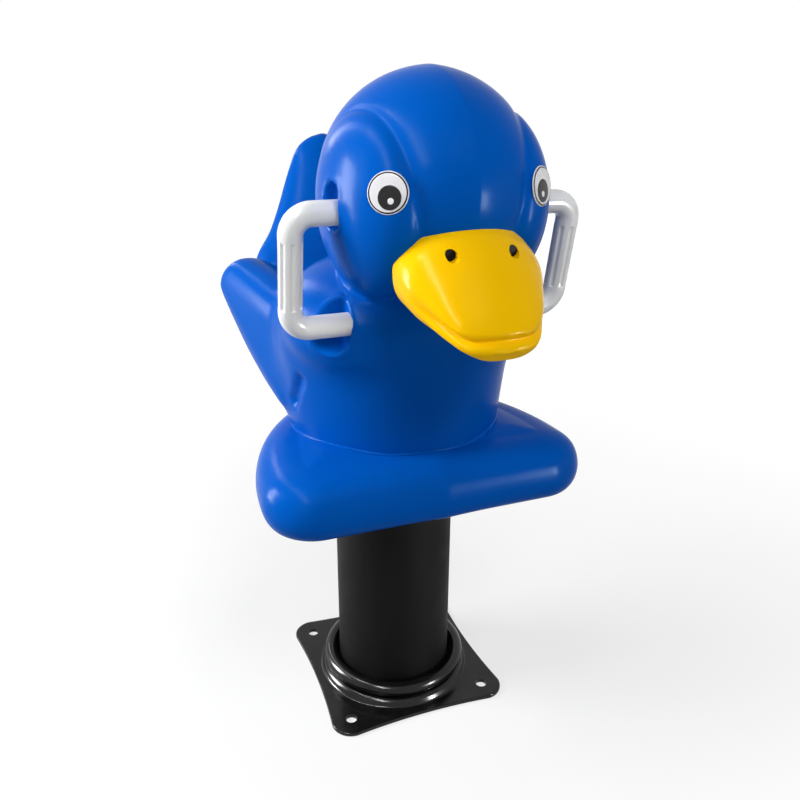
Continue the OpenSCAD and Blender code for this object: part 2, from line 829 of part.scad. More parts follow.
module eye_whites() {
  color(white) both_sides() at_eye(eye_layer_t * 1.5) cylinder(d = eye_d * 0.885, h = eye_layer_t / 2);
}

module eye_pupils() {
  color(black) both_sides() at_eye(eye_layer_t * 2) pupil_shift(1)
    cylinder(d = eye_d * 0.57, h = eye_layer_t / 2);
}

module eye_glints() {
  color(white) both_sides() at_eye(eye_layer_t * 2.5) pupil_shift(1.75)
    cylinder(d = eye_d * 0.15, h = eye_layer_t / 2);
}

// Handles

// The line of a handle arm on the +X side, with z = 0 at the arm's end and +z outward
module arm_line(arm, z) {
  translate([arm[2], -arm[0], arm[1]]) rotate([0, 90, 0]) translate([0, 0, z]) children();
}

module handle() {
  tilt = atan2(upper_arm_y - lower_arm_y, upper_arm_z - lower_arm_z);
  span = norm([upper_arm_y - lower_arm_y, upper_arm_z - lower_arm_z]);
  grip_l = span - 2 * elbow_r;
  stop = elbow_r / 5;
  difference() {
    union() {
      translate([grip_x, -lower_arm_y, lower_arm_z]) rotate([tilt, 0, 0]) {
        translate([0, 0, elbow_r]) difference() {
          cylinder(d = tube_d, h = grip_l);
          for (i = [0 : flutes - 1]) rotate(360 * i / flutes - 90)
            translate([tube_d / 2 + flute_d / 5, 0, stop]) cylinder(d = flute_d, h = grip_l - 2 * stop);
        }
        translate([-elbow_r, 0, elbow_r]) rotate([-90, 0, 0]) rotate_extrude(angle = 90)
          translate([elbow_r, 0]) circle(d = tube_d);
        translate([-elbow_r, 0, span - elbow_r]) rotate([90, 0, 0]) rotate_extrude(angle = 90)
          translate([elbow_r, 0]) circle(d = tube_d);
        for (k = [0, 1]) let (end_x = arms[1 - k][2] + gap - grip_x)
          translate([end_x, 0, k * span]) rotate([0, 90, 0]) cylinder(d = tube_d, h = -end_x - elbow_r);
      }
    }
    for (arm = arms) arm_line(arm, gap - over) cylinder(d = insert_d + 2 * bolt_gap, h = insert_l + over);
  }
}

module right_handle() {
  color(white) mirror([1, 0, 0]) handle();
}

module left_handle() {
  color(white) handle();
}

module handle_inserts() {
  color(steel) both_sides() for (arm = arms) arm_line(arm, gap) difference() {
    cylinder(d = insert_d, h = insert_l - bolt_gap);
    translate([0, 0, -over]) cylinder(d = screw_d + bolt_gap, h = insert_l + 2 * over);
  }
}

module handle_bolts() {
  head_z = -wall - washer_t - screw_head_h;
  color(steel) both_sides() for (arm = arms) arm_line(arm, head_z) {
    hexagon(screw_head_d, screw_head_h);
    cylinder(d = screw_d, h = insert_l * 0.8 - head_z);
  }
}

module handle_washers() {
  color(steel) both_sides() for (arm = arms) arm_line(arm, -wall - washer_t) difference() {
    cylinder(d = screw_head_d, h = washer_t);
    translate([0, 0, -over]) cylinder(d = screw_d + 2 * bolt_gap, h = washer_t + 2 * over);
  }
}

base_plate();
collar_ring();
coil_spring();
spring_sleeve();
lower_clamps();
lower_clamp_studs();
lower_clamp_nuts();
upper_spring_plate();
upper_clamps();
upper_clamp_bolts();
rider_bolts();
rider_washers();
rider_nuts();
backing_plate();
footrest();
rider_body();
bill();
bill_screws();
bill_washers();
bill_nuts();
right_handle();
left_handle();
handle_inserts();
handle_bolts();
handle_washers();
eye_rims();
eye_rings();
eye_whites();
eye_pupils();
eye_glints();
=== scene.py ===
"""Spring rider: a moulded duck on a sleeved spring column, dressed for its picture.

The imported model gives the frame: metres, +Z up, the duck faces -Y and its left side is +X.
"""
import logging
import math
from collections.abc import Callable, Iterator, Sequence
from contextlib import contextmanager
from dataclasses import dataclass
from enum import Enum, auto

import bpy
import numpy as np
from mathutils import Matrix, Vector


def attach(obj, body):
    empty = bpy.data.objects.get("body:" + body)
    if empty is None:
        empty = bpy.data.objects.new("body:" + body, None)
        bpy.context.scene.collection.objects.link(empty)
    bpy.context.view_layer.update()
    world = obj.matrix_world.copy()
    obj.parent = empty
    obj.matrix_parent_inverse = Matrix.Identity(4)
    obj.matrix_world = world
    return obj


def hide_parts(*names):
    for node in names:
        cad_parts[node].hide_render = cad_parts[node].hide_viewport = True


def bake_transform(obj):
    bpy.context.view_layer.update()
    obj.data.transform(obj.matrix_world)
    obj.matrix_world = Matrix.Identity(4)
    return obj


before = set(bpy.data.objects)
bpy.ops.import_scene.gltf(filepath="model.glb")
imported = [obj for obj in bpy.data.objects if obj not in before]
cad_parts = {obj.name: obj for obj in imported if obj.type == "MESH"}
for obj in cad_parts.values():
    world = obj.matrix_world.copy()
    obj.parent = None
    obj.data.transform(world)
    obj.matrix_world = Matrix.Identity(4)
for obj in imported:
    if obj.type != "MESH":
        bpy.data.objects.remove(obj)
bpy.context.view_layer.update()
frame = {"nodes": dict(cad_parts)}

LOG = logging.getLogger("spring_rider")
Piece = bpy.types.Object
Material = bpy.types.Material
Socket = bpy.types.NodeSocket
Array = np.ndarray
Ring = Array
Table = Sequence[Sequence[float]]
Pair = tuple[float, float]
Triple = tuple[float, float, float]
Shape = Callable[[Array, Array], Array]

# Where the left eye sits, and its azimuth and elevation
EYE_SEAT: Triple = (0.075, -0.186, 0.656)
EYE_HEADING: Pair = (34.0, 8.0)
# Parts of a noise's range that a finish spreads over
MIDDLE: Pair = (0.3, 0.7)
WIDE: Pair = (0.2, 0.8)
# The same along every axis, or in every colour
EVEN: Triple = (1.0, 1.0, 1.0)


class Side(Enum):
    """The two sides of the duck, by the sign of X."""

    RIGHT = -1.0
    LEFT = 1.0


class LampUse(Enum):
    """What a lamp does: light surfaces softly, or only show as a glint on glossy ones."""

    SOFT = auto()
    GLINT = auto()


class Body(Enum):
    """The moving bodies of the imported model."""

    BASE = "base"
    SPRING = "spring"
    SLEEVE = "sleeve"
    RIDER = "rider"


# Modelling by hand

def deselect() -> None:
    """Go to object mode with nothing selected."""
    if bpy.context.mode != "OBJECT":
        bpy.ops.object.mode_set(mode="OBJECT")
    bpy.ops.object.select_all(action="DESELECT")


def pick(piece: Piece) -> None:
    """Select one piece alone and make it active.

    Args:
        piece: The piece to select.
    """
    deselect()
    piece.select_set(True)
    bpy.context.view_layer.objects.active = piece


@contextmanager
def editing(piece: Piece) -> Iterator[None]:
    """Edit mode on one piece while the block runs, with all of its mesh selected.

    Args:
        piece: The piece to edit.

    Returns:
        Nothing, while the block runs.
    """
    pick(piece)
    bpy.ops.object.mode_set(mode="EDIT")
    bpy.ops.mesh.select_mode(type="VERT")
    bpy.ops.mesh.select_all(action="SELECT")
    yield
    bpy.ops.object.mode_set(mode="OBJECT")


def named(name: str) -> Piece:
    """Give the piece that an operator has just added its name.

    Args:
        name: The piece's name.

    Returns:
        The piece.
    """
    piece = bpy.context.object
    piece.name = piece.data.name = name
    return piece


def seal(piece: Piece) -> Piece:
    """Merge doubled points and turn all faces outward.

    Args:
        piece: The piece to close.

    Returns:
        The same piece.
    """
    with editing(piece):
        bpy.ops.mesh.remove_doubles(threshold=1e-6)
        bpy.ops.mesh.normals_make_consistent(inside=False)
    return piece


def apply_modifier(piece: Piece, kind: str, **settings: object) -> Piece:
    """Add a modifier with its settings and apply it.

    Args:
        piece: The piece to change.
        kind: Blender's name for the modifier.
        settings: The modifier's own properties.

    Returns:
        The same piece.
    """
    pick(piece)
    modifier = piece.modifiers.new(kind.lower(), kind)
    for key, value in settings.items():
        setattr(modifier, key, value)
    bpy.ops.object.modifier_apply(modifier=modifier.name)
    return piece


def cut(piece: Piece, tool: Piece) -> Piece:
    """Cut one closed piece out of another and delete the cutter.

    Args:
        piece: The piece to cut.
        tool: The cutter, which is used up.

    Returns:
        The same piece.
    """
    apply_modifier(piece, "BOOLEAN", operation="DIFFERENCE", object=tool, solver="MANIFOLD")
    bpy.data.objects.remove(tool, do_unlink=True)
    return piece


def join(name: str, parts: Sequence[Piece]) -> Piece:
    """Join several meshes into one piece.

    Args:
        name: Name of the joined piece.
        parts: The meshes, which are used up.

    Returns:
        The joined piece.
    """
    pick(parts[0])
    for part in parts[1:]:
        part.select_set(True)
    if len(parts) > 1:
        bpy.ops.object.join()
    return named(name)


def fuse(name: str, parts: Sequence[Piece], voxel: float) -> Piece:
    """Join overlapping closed forms and remake them as one skin with faces of a given size."""
    piece = join(name, parts)
    return apply_modifier(piece, "REMESH", mode="VOXEL", voxel_size=voxel, use_smooth_shade=True)


def soften(piece: Piece, times: int) -> Piece:
    """Relax a skin evenly."""
    return apply_modifier(piece, "SMOOTH", factor=0.5, iterations=times)


def points_of(piece: Piece) -> tuple[Array, Array]:
    """The places and normals of a piece's points.

    Args:
        piece: The piece to read.

    Returns:
        Places and normals, a row for each point.
    """
    mesh = piece.data
    mesh.update()
    places = np.empty(len(mesh.vertices) * 3)
    normals = np.empty(len(mesh.vertices) * 3)
    mesh.vertices.foreach_get("co", places)
    mesh.vertices.foreach_get("normal", normals)
    return places.reshape(-1, 3), normals.reshape(-1, 3)


def move_points(piece: Piece, places: Array) -> Piece:
    """Put a piece's points at new places.

    Args:
        piece: The piece to change.
        places: A row for each point.

    Returns:
        The same piece.
    """
    piece.data.vertices.foreach_set("co", places.ravel())
    piece.data.update()
    return piece


def push(piece: Piece, height: Shape) -> Piece:
    """Push a piece's points along their normals, by what their places and normals give."""
    places, normals = points_of(piece)
    return move_points(piece, places + normals * height(places, normals)[:, None])


def fill_creases(piece: Piece, times: int,
                 share: Callable[[Array], Array] | None = None) -> Piece:
    """Fill the hollows between fused forms, and leave what stands proud as it is.

    Args:
        piece: A skin of even faces.
        times: How often each point is drawn out towards its neighbours' middle.
        share: Gives how much of that each place takes, if not all.

    Returns:
        The same piece.
    """
    renew = 8
    count = len(piece.data.vertices)
    edges = np.empty(len(piece.data.edges) * 2, dtype=int)
    piece.data.edges.foreach_get("vertices", edges)
    a, b = edges.reshape(-1, 2).T
    near = np.bincount(a, minlength=count) + np.bincount(b, minlength=count)
    places, normals = points_of(piece)
    step = 0.5 * (share(places) if share else np.ones(count))
    for turn in range(times):
        if turn % renew == 0:
            move_points(piece, places)
            places, normals = points_of(piece)
        mean = np.stack([
            np.bincount(a, places[b, k], count) + np.bincount(b, places[a, k], count)
            for k in range(3)
        ], axis=1) / near[:, None]
        lift = np.maximum(0.0, ((mean - places) * normals).sum(axis=1))
        places = places + (step * lift)[:, None] * normals
    return move_points(piece, places)


def skin(name: str, rings: Sequence[Ring], closed: bool = True) -> Piece:
    """Wrap a grid through rings of points, and draw its ends to their middles.

    Args:
        name: Name of the new piece.
        rings: Rings of equal counts, in order.
        closed: Whether the ends are closed.

    Returns:
        The new piece.
    """
    loops = [np.asarray(ring, dtype=float) for ring in rings]
    if closed:
        first, last = (np.tile(end.mean(axis=0), (len(end), 1)) for end in (loops[0], loops[-1]))
        loops = [first, *loops, last]
    loops = [np.vstack([loop, loop[:1]]) for loop in loops]
    deselect()
    bpy.ops.mesh.primitive_grid_add(
        x_subdivisions=len(loops[0]) - 1, y_subdivisions=len(loops) - 1)
    return seal(move_points(named(name), np.concatenate(loops)))


def turns(count: int) -> Array:
    """Even angles once round."""
    return np.linspace(0.0, 2.0 * math.pi, count, endpoint=False)


def level_ring(x: Array, y: Array, z: float) -> Ring:
    """A ring of points at one height."""
    return np.column_stack([x, y, np.full(len(x), z)])


def round_ring(reach: float | Array, z: float, count: int) -> Ring:
    """A ring about the column's axis, with one reach or a reach for each point."""
    turn = turns(count)
    return level_ring(reach * np.cos(turn), reach * np.sin(turn), z)


def oval(centre: Sequence[float], across: Sequence[float], up: Sequence[float], count: int) -> Ring:
    """A ring about a centre with two half sizes, given as directions."""
    turn = turns(count)
    return np.asarray(centre) + np.outer(np.cos(turn), across) + np.outer(np.sin(turn), up)


def spun(name: str, profile: Sequence[Pair], around: int) -> Piece:
    """Turn a profile of radius and height about the column's axis, with so many faces round."""
    return skin(name, [round_ring(r, z, around) for r, z in profile], closed=False)


def ball(name: str, centre: Sequence[float], half: Sequence[float]) -> Piece:
    """A rounded form with its own half size each way.

    Args:
        name: Name of the new piece.
        centre: Its middle.
        half: Its half size along each axis.

    Returns:
        The new piece.
    """
    deselect()
    bpy.ops.mesh.primitive_uv_sphere_add(segments=96, ring_count=64, radius=1.0)
    piece = named(name)
    places, _ = points_of(piece)
    return move_points(piece, places * np.asarray(half) + np.asarray(centre))


def rod(radius: float, start: Sequence[float], end: Sequence[float], sides: int) -> Piece:
    """A round cutter from one point to another.

    Args:
        radius: Its radius.
        start: Middle of its first end.
        end: Middle of its last end.
        sides: Faces round it.

    Returns:
        The cutter.
    """
    a, b = Vector(start), Vector(end)
    deselect()
    bpy.ops.mesh.primitive_cylinder_add(vertices=sides, radius=radius, depth=(b - a).length)
    piece = named("cutter")
    turn = (b - a).to_track_quat("Z", "Y").to_matrix().to_4x4()
    piece.data.transform(Matrix.Translation((a + b) / 2) @ turn)
    return piece


def heading(azimuth: float, elevation: float) -> Array:
    """The way out to an azimuth and elevation in degrees, 0 being straight in front."""
    a, e = math.radians(azimuth), math.radians(elevation)
    return np.array([math.sin(a) * math.cos(e), -math.cos(a) * math.cos(e), math.sin(e)])


def mirrored(place: Sequence[float], side: Side) -> Triple:
    """A place on one side of the duck or the other."""
    return (place[0] * side.value, place[1], place[2])


def read(table: Table, column: int, at: Array) -> Array:
    """Read a column of a table along its first column, on a smooth curve through every row.

    Args:
        table: Rows in rising order of their first value.
        column: The column to read.
        at: Values of the first column.

    Returns:
        The column's values there.
    """
    rows = np.asarray(table, dtype=float)
    x, y = rows[:, 0], rows[:, column]
    step = np.diff(x)
    rise = np.diff(y) / step
    slope = np.zeros_like(y)
    slope[0], slope[-1] = rise[0], rise[-1]
    for i in range(1, len(x) - 1):
        if rise[i - 1] * rise[i] > 0.0:
            p, q = 2.0 * step[i] + step[i - 1], step[i] + 2.0 * step[i - 1]
            slope[i] = (p + q) / (p / rise[i - 1] + q / rise[i])
    at = np.clip(np.asarray(at, dtype=float), x[0], x[-1])
    k = np.clip(np.searchsorted(x, at, side="right") - 1, 0, len(step) - 1)
    t = (at - x[k]) / step[k]
    return ((1 + 2 * t) * (1 - t) ** 2 * y[k] + t * (1 - t) ** 2 * step[k] * slope[k]
            + t * t * (3 - 2 * t) * y[k + 1] + t * t * (t - 1) * step[k] * slope[k + 1])


def by_row(table: Table, count: int) -> Array:
    """Read all of a table's columns at even steps from row to row, on smooth curves.

    Args:
        table: Rows of numbers.
        count: How many steps to read.

    Returns:
        A row for each step.
    """
    rows = [[i, *row] for i, row in enumerate(table)]
    at = np.linspace(0.0, len(rows) - 1.0, count)
    return np.stack([read(rows, k + 1, at) for k in range(len(table[0]))], axis=1)


def full(wave: Array, power: float | Array) -> Array:
    """A sine or cosine made fuller or flatter, for rings squarer or sharper than an ellipse."""
    return np.sign(wave) * np.abs(wave) ** (2.0 / power)


def ease(value: Array, start: float, end: float) -> Array:
    """A smooth step from 0 at start to 1 at end."""
    t = np.clip((value - start) / (end - start), 0.0, 1.0)
    return t * t * (3.0 - 2.0 * t)


def hump(off: Array, width: float) -> Array:
    """A soft hump of height 1 about 0."""
    return np.exp(-(off / width) ** 2)


def dress(piece: Piece, material: Material, angle: float | None = None) -> Piece:
    """Give a piece its material and smooth shading.

    Args:
        piece: The piece to dress.
        material: Its finish.
        angle: Edges sharper than this many degrees stay sharp, if given.

    Returns:
        The same piece.
    """
    pick(piece)
    if angle is None:
        bpy.ops.object.shade_smooth()
    else:
        bpy.ops.object.shade_smooth_by_angle(angle=math.radians(angle))
    piece.data.materials.clear()
    piece.data.materials.append(material)
    return piece


def stand_for(piece: Piece, body: Body, slot: str, *nodes: str) -> Piece:
    """Let a piece ride on a body in place of CAD nodes.

    Args:
        piece: The finished piece.
        body: The body that it rides on.
        slot: The record's slot; not used.
        nodes: The CAD nodes that it replaces, if any.

    Returns:
        The same piece.
    """
    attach(piece, body.value)
    if nodes:
        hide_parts(*nodes)
    LOG.info("%s: %d faces, on %s", piece.name, len(piece.data.polygons), body.value)
    return piece


# Finishes

@dataclass(frozen=True)
class Grain:
    """A noise over a piece: waves per metre, finer layers, stretch, and the part of it used."""

    scale: float
    detail: float
    stretch: Triple = EVEN
    span: Pair = MIDDLE


Bumps = tuple[tuple[Grain, float], ...]


class Shader:
    """A node material while it is put together."""

    def __init__(self, name: str, **values: object) -> None:
        """Start a material with plain values on its surface.

        Args:
            name: Name of the material.
            values: Values by socket, with the socket's words joined by underscores.
        """
        self.material = bpy.data.materials.new(name)
        self.material.use_nodes = True
        self.tree = self.material.node_tree
        self.surface = self.tree.nodes["Principled BSDF"]
        self.place = self.add("TexCoord").outputs["Object"]
        for key, value in values.items():
            self.surface.inputs[key.replace("_", " ")].default_value = value

    def add(self, kind: str, **inputs: object) -> bpy.types.Node:
        """Add a node and give its inputs plain values, or lead other nodes' values to them.

        Args:
            kind: The node's kind.
            inputs: Values or sockets by input, its words joined by underscores.

        Returns:
            The node.
        """
        node = self.tree.nodes.new(f"ShaderNode{kind}")
        for key, value in inputs.items():
            socket = node.inputs[key.replace("_", " ")]
            if isinstance(value, Socket):
                self.tree.links.new(value, socket)
            else:
                socket.default_value = value
        return node

    def noise(self, grain: Grain) -> Socket:
        """The value of a grain over the piece's own place.

        Args:
            grain: The noise.

        Returns:
            Its value.
        """
        mapping = self.add("Mapping", Vector=self.place, Scale=grain.stretch)
        return self.add("TexNoise", Vector=mapping.outputs["Vector"], Scale=grain.scale,
                        Detail=grain.detail).outputs["Fac"]

    def spread(self, value: Socket, span: Pair, low: float, high: float) -> Socket:
        """Map a value from a span to low and high."""
        return self.add("MapRange", Value=value, From_Min=span[0], From_Max=span[1],
                        To_Min=low, To_Max=high).outputs["Result"]

    def blend(self, share: Socket, first: Triple, second: Triple) -> Socket:
        """Mix two colours by a share.

        Args:
            share: 0 for the first colour and 1 for the second.
            first: A colour.
            second: Another colour.

        Returns:
            The mixed colour.
        """
        node = self.add("Mix", Factor=share)
        node.data_type = "RGBA"
        for socket in node.inputs:
            if socket.name in ("A", "B") and socket.type == "RGBA":
                socket.default_value = (*(first if socket.name == "A" else second), 1.0)
        return next(s for s in node.outputs if s.type == "RGBA")

    def link(self, value: Socket, socket: str) -> None:
        """Lead a value to a socket of the surface."""
        self.tree.links.new(value, self.surface.inputs[socket])

    def tones(self, grain: Grain, first: Triple, second: Triple) -> None:
        """Colour the surface with two tones, by a grain."""
        share = self.spread(self.noise(grain), grain.span, 0.0, 1.0)
        self.link(self.blend(share, first, second), "Base Color")

    def sheen(self, grain: Grain, rough: Pair) -> None:
        """Vary the roughness by a grain."""
        self.link(self.spread(self.noise(grain), grain.span, *rough), "Roughness")

    def bumps(self, layers: Bumps, share: float) -> None:
        """Lay bumps on the surface, each a grain and a share of its depth in metres.

        Args:
            layers: Grains with their depths, from the lowest up.
            share: How much of each depth is used.
        """
        below: dict[str, Socket] = {}
        for grain, deep in layers:
            node = self.add("Bump", Strength=1.0, Distance=deep * share,
                            Height=self.noise(grain), **below)
            below = {"Normal": node.outputs["Normal"]}
        self.link(below["Normal"], "Normal")


@dataclass(frozen=True)
class Finish:
    """Two tones, a range of roughness and fine bumps, each laid out by grains."""

    name: str
    colour: Triple
    shade: Triple
    rough: Pair
    tones: Grain
    sheen: Grain
    bumps: Bumps
    relief: float = 1.0
    gloss: float = 0.25
    tint: Triple = EVEN
    ior: float = 1.5
    metal: float = 0.0

    def material(self) -> Material:
        """The finish as a node material.

        Returns:
            The material.
        """
        shader = Shader(self.name, Metallic=self.metal, IOR=self.ior,
                        Specular_IOR_Level=self.gloss, Specular_Tint=(*self.tint, 1.0))
        shader.tones(self.tones, self.colour, self.shade)
        shader.sheen(self.sheen, self.rough)
        shader.bumps(self.bumps, self.relief)
        return shader.material


@dataclass(frozen=True)
class MouldedPlastic(Finish):
    """Soft-gloss moulded plastic with a faint orange peel and slow changes of tone."""

    rough: Pair = (0.15, 0.22)
    tones: Grain = Grain(7.0, 2.0, span=WIDE)
    sheen: Grain = Grain(40.0, 2.0, span=WIDE)
    bumps: Bumps = ((Grain(55.0, 1.0), 0.00008), (Grain(130.0, 1.0, (1.0, 1.0, 0.12)), 0.00004),
                    (Grain(420.0, 1.0), 0.00002))
    gloss: float = 0.15


@dataclass(frozen=True)
class BlackPaint(Finish):
    """Gloss black paint on pressed steel, with a little dust and fine waviness."""

    colour: Triple = (0.004, 0.004, 0.0042)
    shade: Triple = (0.012, 0.012, 0.0125)
    rough: Pair = (0.13, 0.24)
    tones: Grain = Grain(38.0, 4.0, span=(0.4, 0.8))
    sheen: Grain = Grain(60.0, 3.0, span=WIDE)
    bumps: Bumps = ((Grain(70.0, 1.0), 0.00006), (Grain(700.0, 1.0), 0.00001))


@dataclass(frozen=True)
class SleeveRubber(Finish):
    """Matte black sleeve with a fine grain and slight long waves."""

    colour: Triple = (0.004, 0.004, 0.0042)
    shade: Triple = (0.007, 0.007, 0.0073)
    rough: Pair = (0.5, 0.66)
    tones: Grain = Grain(22.0, 5.0, (1.0, 1.0, 0.3))
    sheen: Grain = Grain(30.0, 4.0)
    bumps: Bumps = ((Grain(26.0, 2.0, (1.0, 1.0, 0.25)), 0.0009), (Grain(900.0, 2.0), 0.00005))
    gloss: float = 0.06
    ior: float = 1.48


@dataclass(frozen=True)
class PlatedSteel(Finish):
    """Zinc-plated steel with a cloudy sheen and fine scratches."""

    colour: Triple = (0.56, 0.57, 0.59)
    shade: Triple = (0.4, 0.41, 0.43)
    rough: Pair = (0.24, 0.48)
    tones: Grain = Grain(120.0, 6.0)
    sheen: Grain = Grain(260.0, 5.0, (1.0, 1.0, 0.2))
    bumps: Bumps = ((Grain(1400.0, 3.0, (1.0, 1.0, 0.15)), 0.00002),)
    gloss: float = 0.5
    metal: float = 1.0


@dataclass(frozen=True)
class Enamel(Finish):
    """Hard glossy enamel of the eyes."""

    rough: Pair = (0.14, 0.24)
    tones: Grain = Grain(160.0, 3.0)
    sheen: Grain = Grain(300.0, 3.0)
    bumps: Bumps = ((Grain(180.0, 2.0), 0.00002),)


class Finishes:
    """Every finish of the rider, made once."""

    def __init__(self) -> None:
        """Make the finishes. The screws' blackened steel is as matte as a dull plastic."""
        self.blue = MouldedPlastic(
            "blue_plastic", (0.0003, 0.098, 0.5), (0.0002, 0.092, 0.47), rough=(0.2, 0.27),
            gloss=0.019, tint=(0.6, 0.85, 1.0)).material()
        self.yellow = MouldedPlastic(
            "yellow_plastic", (0.98, 0.57, 0.001), (0.95, 0.53, 0.001),
            gloss=0.05, tint=(1.0, 0.9, 0.5)).material()
        self.white = MouldedPlastic(
            "white_plastic", (0.88, 0.89, 0.89), (0.85, 0.86, 0.865), rough=(0.18, 0.26),
            relief=0.5, gloss=0.3).material()
        self.paint = BlackPaint("black_paint").material()
        self.rubber = SleeveRubber("sleeve_rubber").material()
        self.zinc = PlatedSteel("zinc_steel").material()
        self.dark_steel = MouldedPlastic(
            "dark_steel", (0.008, 0.008, 0.008), (0.011, 0.011, 0.011), rough=(0.3, 0.4),
            gloss=0.02).material()
        self.eye_white = Enamel("eye_white", (0.84, 0.84, 0.87), (0.8, 0.8, 0.83)).material()
        self.eye_black = Enamel(
            "eye_black", (0.008, 0.008, 0.009), (0.014, 0.014, 0.015)).material()


# Sub-assemblies

@dataclass
class Ground:
    """The pressed base plate with its bead, and the collar round the column's foot."""

    half_hole: float = 0.09
    corner_r: float = 0.025
    dip: float = 0.005
    thick: float = 0.005
    hole_r: float = 0.007
    bead_ring_r: float = 0.088
    bead_r: float = 0.009
    bead_gap: float = 0.004
    bead_fillet: float = 0.003
    bead_toe: Pair = (0.001, 0.0005)
    middle_r: float = 0.07
    lip_r: float = 0.0855
    lip_z: float = 0.024
    lip_bead_r: float = 0.0085
    collar_in_r: float = 0.07525
    collar_wall: float = 0.0035
    neck_steps: Table = ((0.0, -0.003), (0.0004, -0.001))
    throat_steps: Table = ((0.0023, 0.0035), (0.0005, 0.0022), (0.0, 0.0))
    stud_r: float = 0.0373
    stud_hole_r: float = 0.00525
    stud_angles: Triple = (60.0, 140.0, 220.0)
    edge: float = 0.0012
    cut_z: Pair = (-0.01, 0.02)
    core_r: Pair = (0.03, 0.02)
    faces: int = 384

    def outline(self) -> Array:
        """The plate's reach from its middle, at even angles.

        Returns:
            One reach for each angle.
        """
        side = self.half_hole + self.corner_r
        dip_r = (self.half_hole ** 2 + self.dip ** 2) / (2 * self.dip)
        reach = np.empty(self.faces)
        for i, turn in enumerate(turns(self.faces)):
            a = abs((turn + math.pi / 4) % (math.pi / 2) - math.pi / 4)
            way = np.array([math.cos(a), math.sin(a)])
            middle = np.array([side - self.dip + dip_r, 0.0])
            along = way @ middle
            flat = along - math.sqrt(along ** 2 - middle @ middle + dip_r ** 2)
            if flat * way[1] <= self.half_hole:
                reach[i] = flat
                continue
            corner = np.array([self.half_hole, self.half_hole])
            along = way @ corner
            reach[i] = along + math.sqrt(along ** 2 - corner @ corner + self.corner_r ** 2)
        return reach

    def plate(self) -> Piece:
        """The plate with its bead and holes.

        Returns:
            The plate.
        """
        reach, bead_out = self.outline(), self.bead_ring_r + self.bead_r
        inner = bead_out + self.bead_gap

        def ring(out: float, z: float, inset: float = 0.0) -> Ring:
            """A ring at a share of the way from outside the bead's foot to the outline."""
            return round_ring(inner + (reach - inset - inner) * out, z, self.faces)

        e, t, fillet = self.edge, self.thick, self.bead_fillet
        circles = [(bead_out + fillet, t)]
        circles += [(bead_out + fillet * (1 - math.sin(a)), t + fillet * (1 - math.cos(a)))
                    for a in np.radians((25, 50, 72))]
        circles += [(self.bead_ring_r + self.bead_r * math.cos(a), t + self.bead_r * math.sin(a))
                    for a in np.radians(np.arange(22, 160, 8))]
        circles += [(self.bead_ring_r - self.bead_r - self.bead_toe[0], t + self.bead_toe[1]),
                    (self.middle_r, t), (self.core_r[1], t)]
        rings = [round_ring(r, 0.0, self.faces) for r in (self.core_r[0], self.middle_r)]
        rings += [ring(0.0, 0.0), ring(0.5, 0.0), ring(1.0, 0.0, e)]
        rings += [ring(1.0, e - e * math.cos(a), e - e * math.sin(a))
                  for a in np.radians((30, 60, 90))]
        rings += [ring(1.0, t - e + e * math.sin(a), e - e * math.cos(a))
                  for a in np.radians((0, 30, 60, 90))]
        rings += [ring(s, t) for s in (0.9, 0.7, 0.5, 0.3, 0.12)]
        rings += [round_ring(r, z, self.faces) for r, z in circles]
        plate = skin("pressed_plate", rings)
        corners = (-self.half_hole, self.half_hole)
        holes = [(x, y, self.hole_r, 64) for x in corners for y in corners]
        holes += [(self.stud_r * math.cos(a), self.stud_r * math.sin(a), self.stud_hole_r, 32)
                  for a in np.radians(self.stud_angles)]
        for x, y, r, sides in holes:
            cut(plate, rod(r, (x, y, self.cut_z[0]), (x, y, self.cut_z[1]), sides))
        return plate

    def collar(self) -> Piece:
        """The collar: an upright wall that rolls out into a round lip.

        Returns:
            The collar.
        """
        r0, r1, z1 = self.collar_in_r, self.collar_in_r + self.collar_wall, self.lip_z
        neck = z1 - self.lip_bead_r * 0.5
        profile = [(r0, self.thick), (r1, self.thick)]
        profile += [(r1 + out, neck + up) for out, up in self.neck_steps]
        profile += [(self.lip_r + self.lip_bead_r * math.cos(a), z1 + self.lip_bead_r * math.sin(a))
                    for a in np.radians(np.arange(-150, 151, 10))]
        profile += [(r0 + out, z1 + up) for out, up in self.throat_steps]
        return spun("rolled_collar", [*profile, (r0, self.thick)], around=192)

    def build(self, finishes: Finishes) -> None:
        """Build, dress and seat both pieces.

        Args:
            finishes: The rider's finishes.
        """
        plate = dress(self.plate(), finishes.paint, angle=32)
        stand_for(plate, Body.BASE, "black_steel", "base_plate")
        collar = dress(self.collar(), finishes.paint, angle=50)
        stand_for(collar, Body.BASE, "black_steel", "collar_ring")


